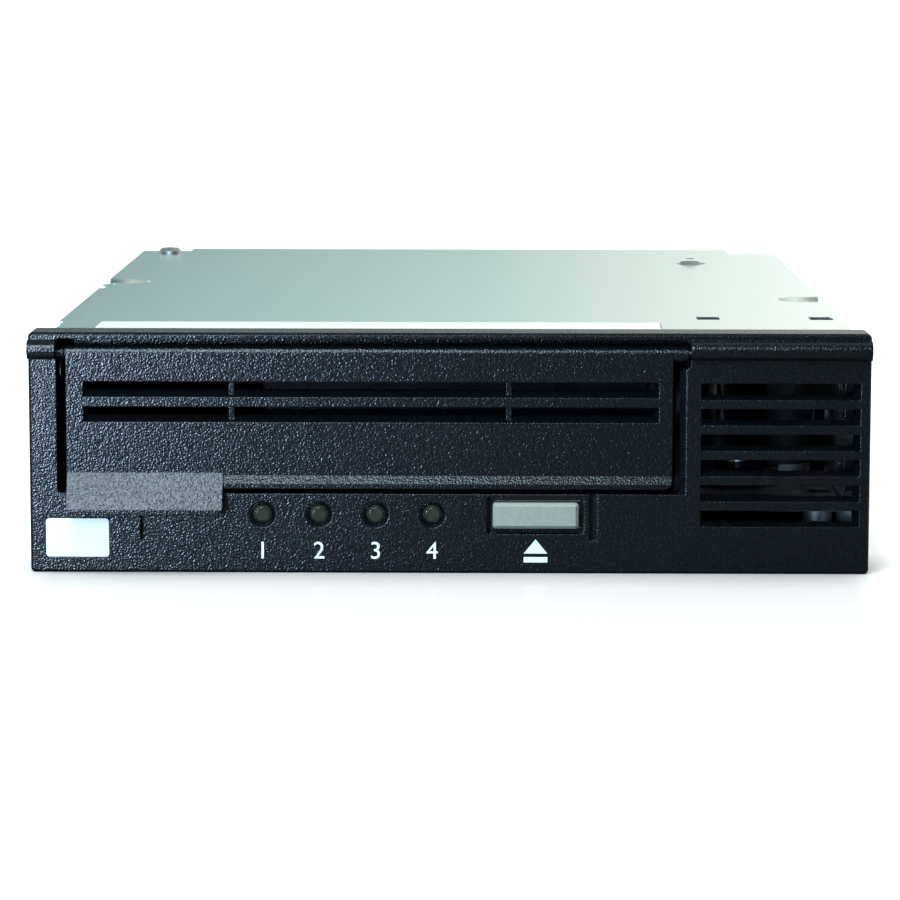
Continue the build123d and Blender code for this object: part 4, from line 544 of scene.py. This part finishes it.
first_light_x = light_low.x + light_radius
light_pitch = (light_high.x - light_low.x - 2 * light_radius) / 3
for index in range(4):
    curve = bpy.data.curves.new(f"numeral_{index + 1}", "FONT")
    curve.body = str(index + 1)
    curve.align_x = "CENTER"
    curve.size = numeral_height / height_in_type
    curve.extrude = ink_thickness
    text = bpy.data.objects.new("numeral", curve)
    mesh = bpy.data.meshes.new_from_object(text)
    bpy.data.objects.remove(text)
    stand = Matrix.Translation((first_light_x + index * light_pitch, face_y, numeral_foot_z))
    mesh.transform(stand @ Matrix.Rotation(math.radians(90), 4, "X"))
    printed(f"numeral_{index + 1}", mesh)

sign_x = (button_low.x + button_high.x) / 2
sign_half = 0.0021
bar_foot_z, bar_top_z = 0.0020, 0.00297
triangle_foot_z, triangle_tip_z = 0.0036, 0.00615
raised([(sign_x - sign_half, triangle_foot_z), (sign_x + sign_half, triangle_foot_z),
        (sign_x, triangle_tip_z)], "eject_triangle")
raised([(sign_x - sign_half, bar_foot_z), (sign_x + sign_half, bar_foot_z),
        (sign_x + sign_half, bar_top_z), (sign_x - sign_half, bar_top_z)], "eject_bar")


# Studio: white paper for a floor, dark to reflections so that it doesn't grey the black plastic, with a
# shadow painted into its colour at the foot of the drive. Above is a ceiling of soft light, with a soft box
# high in front, a small one low at the front left, and a pale wall behind that brightens to the right.
floor_half = 40.0
floor = bpy.data.meshes.new("floor")
floor.from_pydata([(-floor_half, -floor_half, 0), (floor_half, -floor_half, 0), (floor_half, floor_half, 0),
                   (-floor_half, floor_half, 0)], [], [(0, 1, 2, 3)])
floor_object = bpy.data.objects.new("floor", floor)
bpy.context.scene.collection.objects.link(floor_object)
paper = Finish("floor_white", 1.0)
paper.shader.inputs["Specular IOR Level"].default_value = 0.0
paper_place = paper.nodes.new("ShaderNodeSeparateXYZ")
paper.links.new(paper.place, paper_place.inputs["Vector"])
# Painted shadow: the paper's colour darkens in a band in front of the drive's foot, and stays white behind
# it and beside the drive.
nearness = paper.nodes.new("ShaderNodeMapRange")
nearness.inputs["From Min"].default_value = -0.22
nearness.inputs["From Max"].default_value = 0.0
paper.links.new(paper_place.outputs["Y"], nearness.inputs["Value"])
painted_foot_shadow = paper.ramp(nearness.outputs["Result"], [(0.0, (0.95, 0.955, 0.955)), (0.20, (0.72, 0.71, 0.70)),
                                               (0.36, (0.56, 0.540, 0.525)), (0.50, (0.56, 0.530, 0.510)),
                                               (0.565, (0.520, 0.500, 0.475)), (0.61, (0.520, 0.500, 0.475)),
                                               (0.68, (0.95, 0.955, 0.955))])
sideness = paper.nodes.new("ShaderNodeMath")
sideness.operation = "ABSOLUTE"
paper.links.new(paper_place.outputs["X"], sideness.inputs[0])
beside = paper.nodes.new("ShaderNodeMapRange")
beside.inputs["From Min"].default_value = 0.070
beside.inputs["From Max"].default_value = 0.086
paper.links.new(sideness.outputs["Value"], beside.inputs["Value"])
shaded = paper.nodes.new("ShaderNodeMix")
shaded.data_type = "RGBA"
shaded.inputs["B"].default_value = (0.95, 0.955, 0.955, 1.0)
paper.links.new(beside.outputs["Result"], shaded.inputs["Factor"])
paper.links.new(painted_foot_shadow, shaded.inputs["A"])
seen = paper.nodes.new("ShaderNodeMix")
seen.data_type = "RGBA"
seen.inputs["A"].default_value = (0.08, 0.085, 0.09, 1.0)
paper.links.new(paper.nodes.new("ShaderNodeLightPath").outputs["Is Camera Ray"], seen.inputs["Factor"])
paper.links.new(shaded.outputs["Result"], seen.inputs["B"])
paper.links.new(seen.outputs["Result"], paper.shader.inputs["Base Color"])
gloss = paper.nodes.new("ShaderNodeBsdfGlossy")
gloss.inputs["Roughness"].default_value = 0.08
share = paper.nodes.new("ShaderNodeMixShader")
share.inputs["Fac"].default_value = 0.06
paper.links.new(paper.shader.outputs["BSDF"], share.inputs[1])
paper.links.new(gloss.outputs["BSDF"], share.inputs[2])
paper.links.new(share.outputs["Shader"], paper.nodes["Material Output"].inputs["Surface"])
floor.materials.append(paper.material)


def soft_light(name, place, aim, width, height, power, colour):
    """A rectangular soft box at place, turned to face aim."""
    data = bpy.data.lights.new(name, "AREA")
    data.shape = "RECTANGLE"
    data.size = width
    data.size_y = height
    data.energy = power
    data.color = colour
    light = bpy.data.objects.new(name, data)
    bpy.context.scene.collection.objects.link(light)
    light.location = place
    light.rotation_euler = (Vector(aim) - Vector(place)).to_track_quat("-Z", "Y").to_euler()
    light.visible_camera = False


soft_light("key_box", place=(-0.135, -0.498, 0.383), aim=(-0.05, -0.095, 0.015),
           width=0.26, height=0.24, power=2.65, colour=(0.76, 0.98, 1.14))
soft_light("left_box", place=(-0.206, -0.47, 0.03), aim=(-0.07, -0.09, 0.02),
           width=0.07, height=0.09, power=1.55, colour=(0.66, 0.90, 1.22))

world = bpy.data.worlds.new("studio")
world.use_nodes = True
sky = world.node_tree
way = sky.nodes.new("ShaderNodeSeparateXYZ")
sky.links.new(sky.nodes.new("ShaderNodeTexCoord").outputs["Generated"], way.inputs["Vector"])


def graded(axis, low, high, stops):
    """Colour that changes with the direction's share along one axis, from low to high."""
    span = sky.nodes.new("ShaderNodeMapRange")
    span.inputs["From Min"].default_value = low
    span.inputs["From Max"].default_value = high
    sky.links.new(way.outputs[axis], span.inputs["Value"])
    ramp = sky.nodes.new("ShaderNodeValToRGB")
    elements = ramp.color_ramp.elements
    while len(elements) < len(stops):
        elements.new(0.5)
    for element, (position, colour) in zip(elements, stops):
        element.position = position
        element.color = (*colour, 1.0)
    sky.links.new(span.outputs["Result"], ramp.inputs["Fac"])
    return ramp.outputs["Color"]


def multiplied(first, second):
    """Product of two colours of the backdrop."""
    product = sky.nodes.new("ShaderNodeMix")
    product.data_type = "RGBA"
    product.blend_type = "MULTIPLY"
    product.inputs["Factor"].default_value = 1.0
    sky.links.new(first, product.inputs["A"])
    sky.links.new(second, product.inputs["B"])
    return product.outputs["Result"]


far_row = graded("X", -0.6, 0.6, [(0.0, (0.42, 0.45, 0.45)), (0.22, (0.22, 0.25, 0.25)),
                                  (0.40, (0.0, 0.0, 0.0)), (0.5, (0.19, 0.265, 0.242)),
                                  (0.60, (0.86, 0.86, 0.80)), (1.0, (0.9, 0.9, 0.88))])
near_row = graded("X", -0.6, 0.6, [(0.0, (0.52, 0.55, 0.55)), (0.22, (0.40, 0.46, 0.46)),
                                   (0.40, (0.22, 0.38, 0.395)), (0.5, (0.39, 0.52, 0.495)),
                                   (0.60, (0.70, 0.70, 0.66)), (1.0, (0.75, 0.76, 0.75))])
rise = sky.nodes.new("ShaderNodeMapRange")
rise.inputs["From Min"].default_value = 0.076
rise.inputs["From Max"].default_value = 0.125
sky.links.new(way.outputs["Z"], rise.inputs["Value"])
rows = sky.nodes.new("ShaderNodeMix")
rows.data_type = "RGBA"
sky.links.new(rise.outputs["Result"], rows.inputs["Factor"])
sky.links.new(far_row, rows.inputs["A"])
sky.links.new(near_row, rows.inputs["B"])
belt = graded("Z", 0.0, 1.0, [(0.19, (0.0, 0.0, 0.0)), (0.22, (1.0, 1.0, 1.0)), (0.28, (1.0, 1.0, 1.0)),
                              (0.32, (0.0, 0.0, 0.0))])
belted = sky.nodes.new("ShaderNodeMix")
belted.data_type = "RGBA"
sky.links.new(belt, belted.inputs["Factor"])
sky.links.new(rows.outputs["Result"], belted.inputs["A"])
belted.inputs["B"].default_value = (1.0, 1.0, 1.0, 1.0)
upward = graded("Z", 0.0, 1.0, [(0.0, (1.0, 1.0, 1.0)), (0.30, (1.0, 1.0, 1.0)), (0.40, (0.55, 0.55, 0.55)),
                                (0.75, (0.70, 0.70, 0.70)), (0.95, (1.10, 1.10, 1.10))])
backward = graded("Y", -0.15, 0.10, [(0.0, (0.015, 0.016, 0.017)), (1.0, (1.0, 1.0, 1.0))])
backdrop = multiplied(multiplied(belted.outputs["Result"], upward), backward)
sky.links.new(backdrop, sky.nodes["Background"].inputs["Color"])
sky.nodes["Background"].inputs["Strength"].default_value = 1.5
bpy.context.scene.world = world

ceiling_lean, ceiling_roll, ceiling_spread = 4, -3, 50
sun = bpy.data.lights.new("ceiling", "SUN")
sun.energy = 3.45
sun.angle = math.radians(ceiling_spread)
sun_object = bpy.data.objects.new("ceiling", sun)
bpy.context.scene.collection.objects.link(sun_object)
sun_object.rotation_euler = (math.radians(ceiling_lean), math.radians(ceiling_roll), 0)
sun_object.visible_glossy = False
bpy.context.scene.view_settings.view_transform = "Standard"
bpy.context.scene.view_settings.look = "None"


# Camera: at the photograph's viewing angle, a little above the lid and nearly square to the bezel. The
# long lens keeps the sides of the drive out of sight.
camera_place = (0.00647, -0.72115, 0.10663)
tilt_down, roll, turn = 7.690, -0.079, 0.592
lens_data = bpy.data.cameras.new("camera")
lens_data.lens = 143.1
lens_data.sensor_width = 36.0
lens_data.dof.use_dof = False
lens_data.clip_start = 0.01
lens_data.clip_end = 200.0
camera = bpy.data.objects.new("camera", lens_data)
bpy.context.scene.collection.objects.link(camera)
camera.location = camera_place
camera.rotation_euler = (math.radians(90 - tilt_down), math.radians(roll), math.radians(turn))
bpy.context.scene.camera = camera
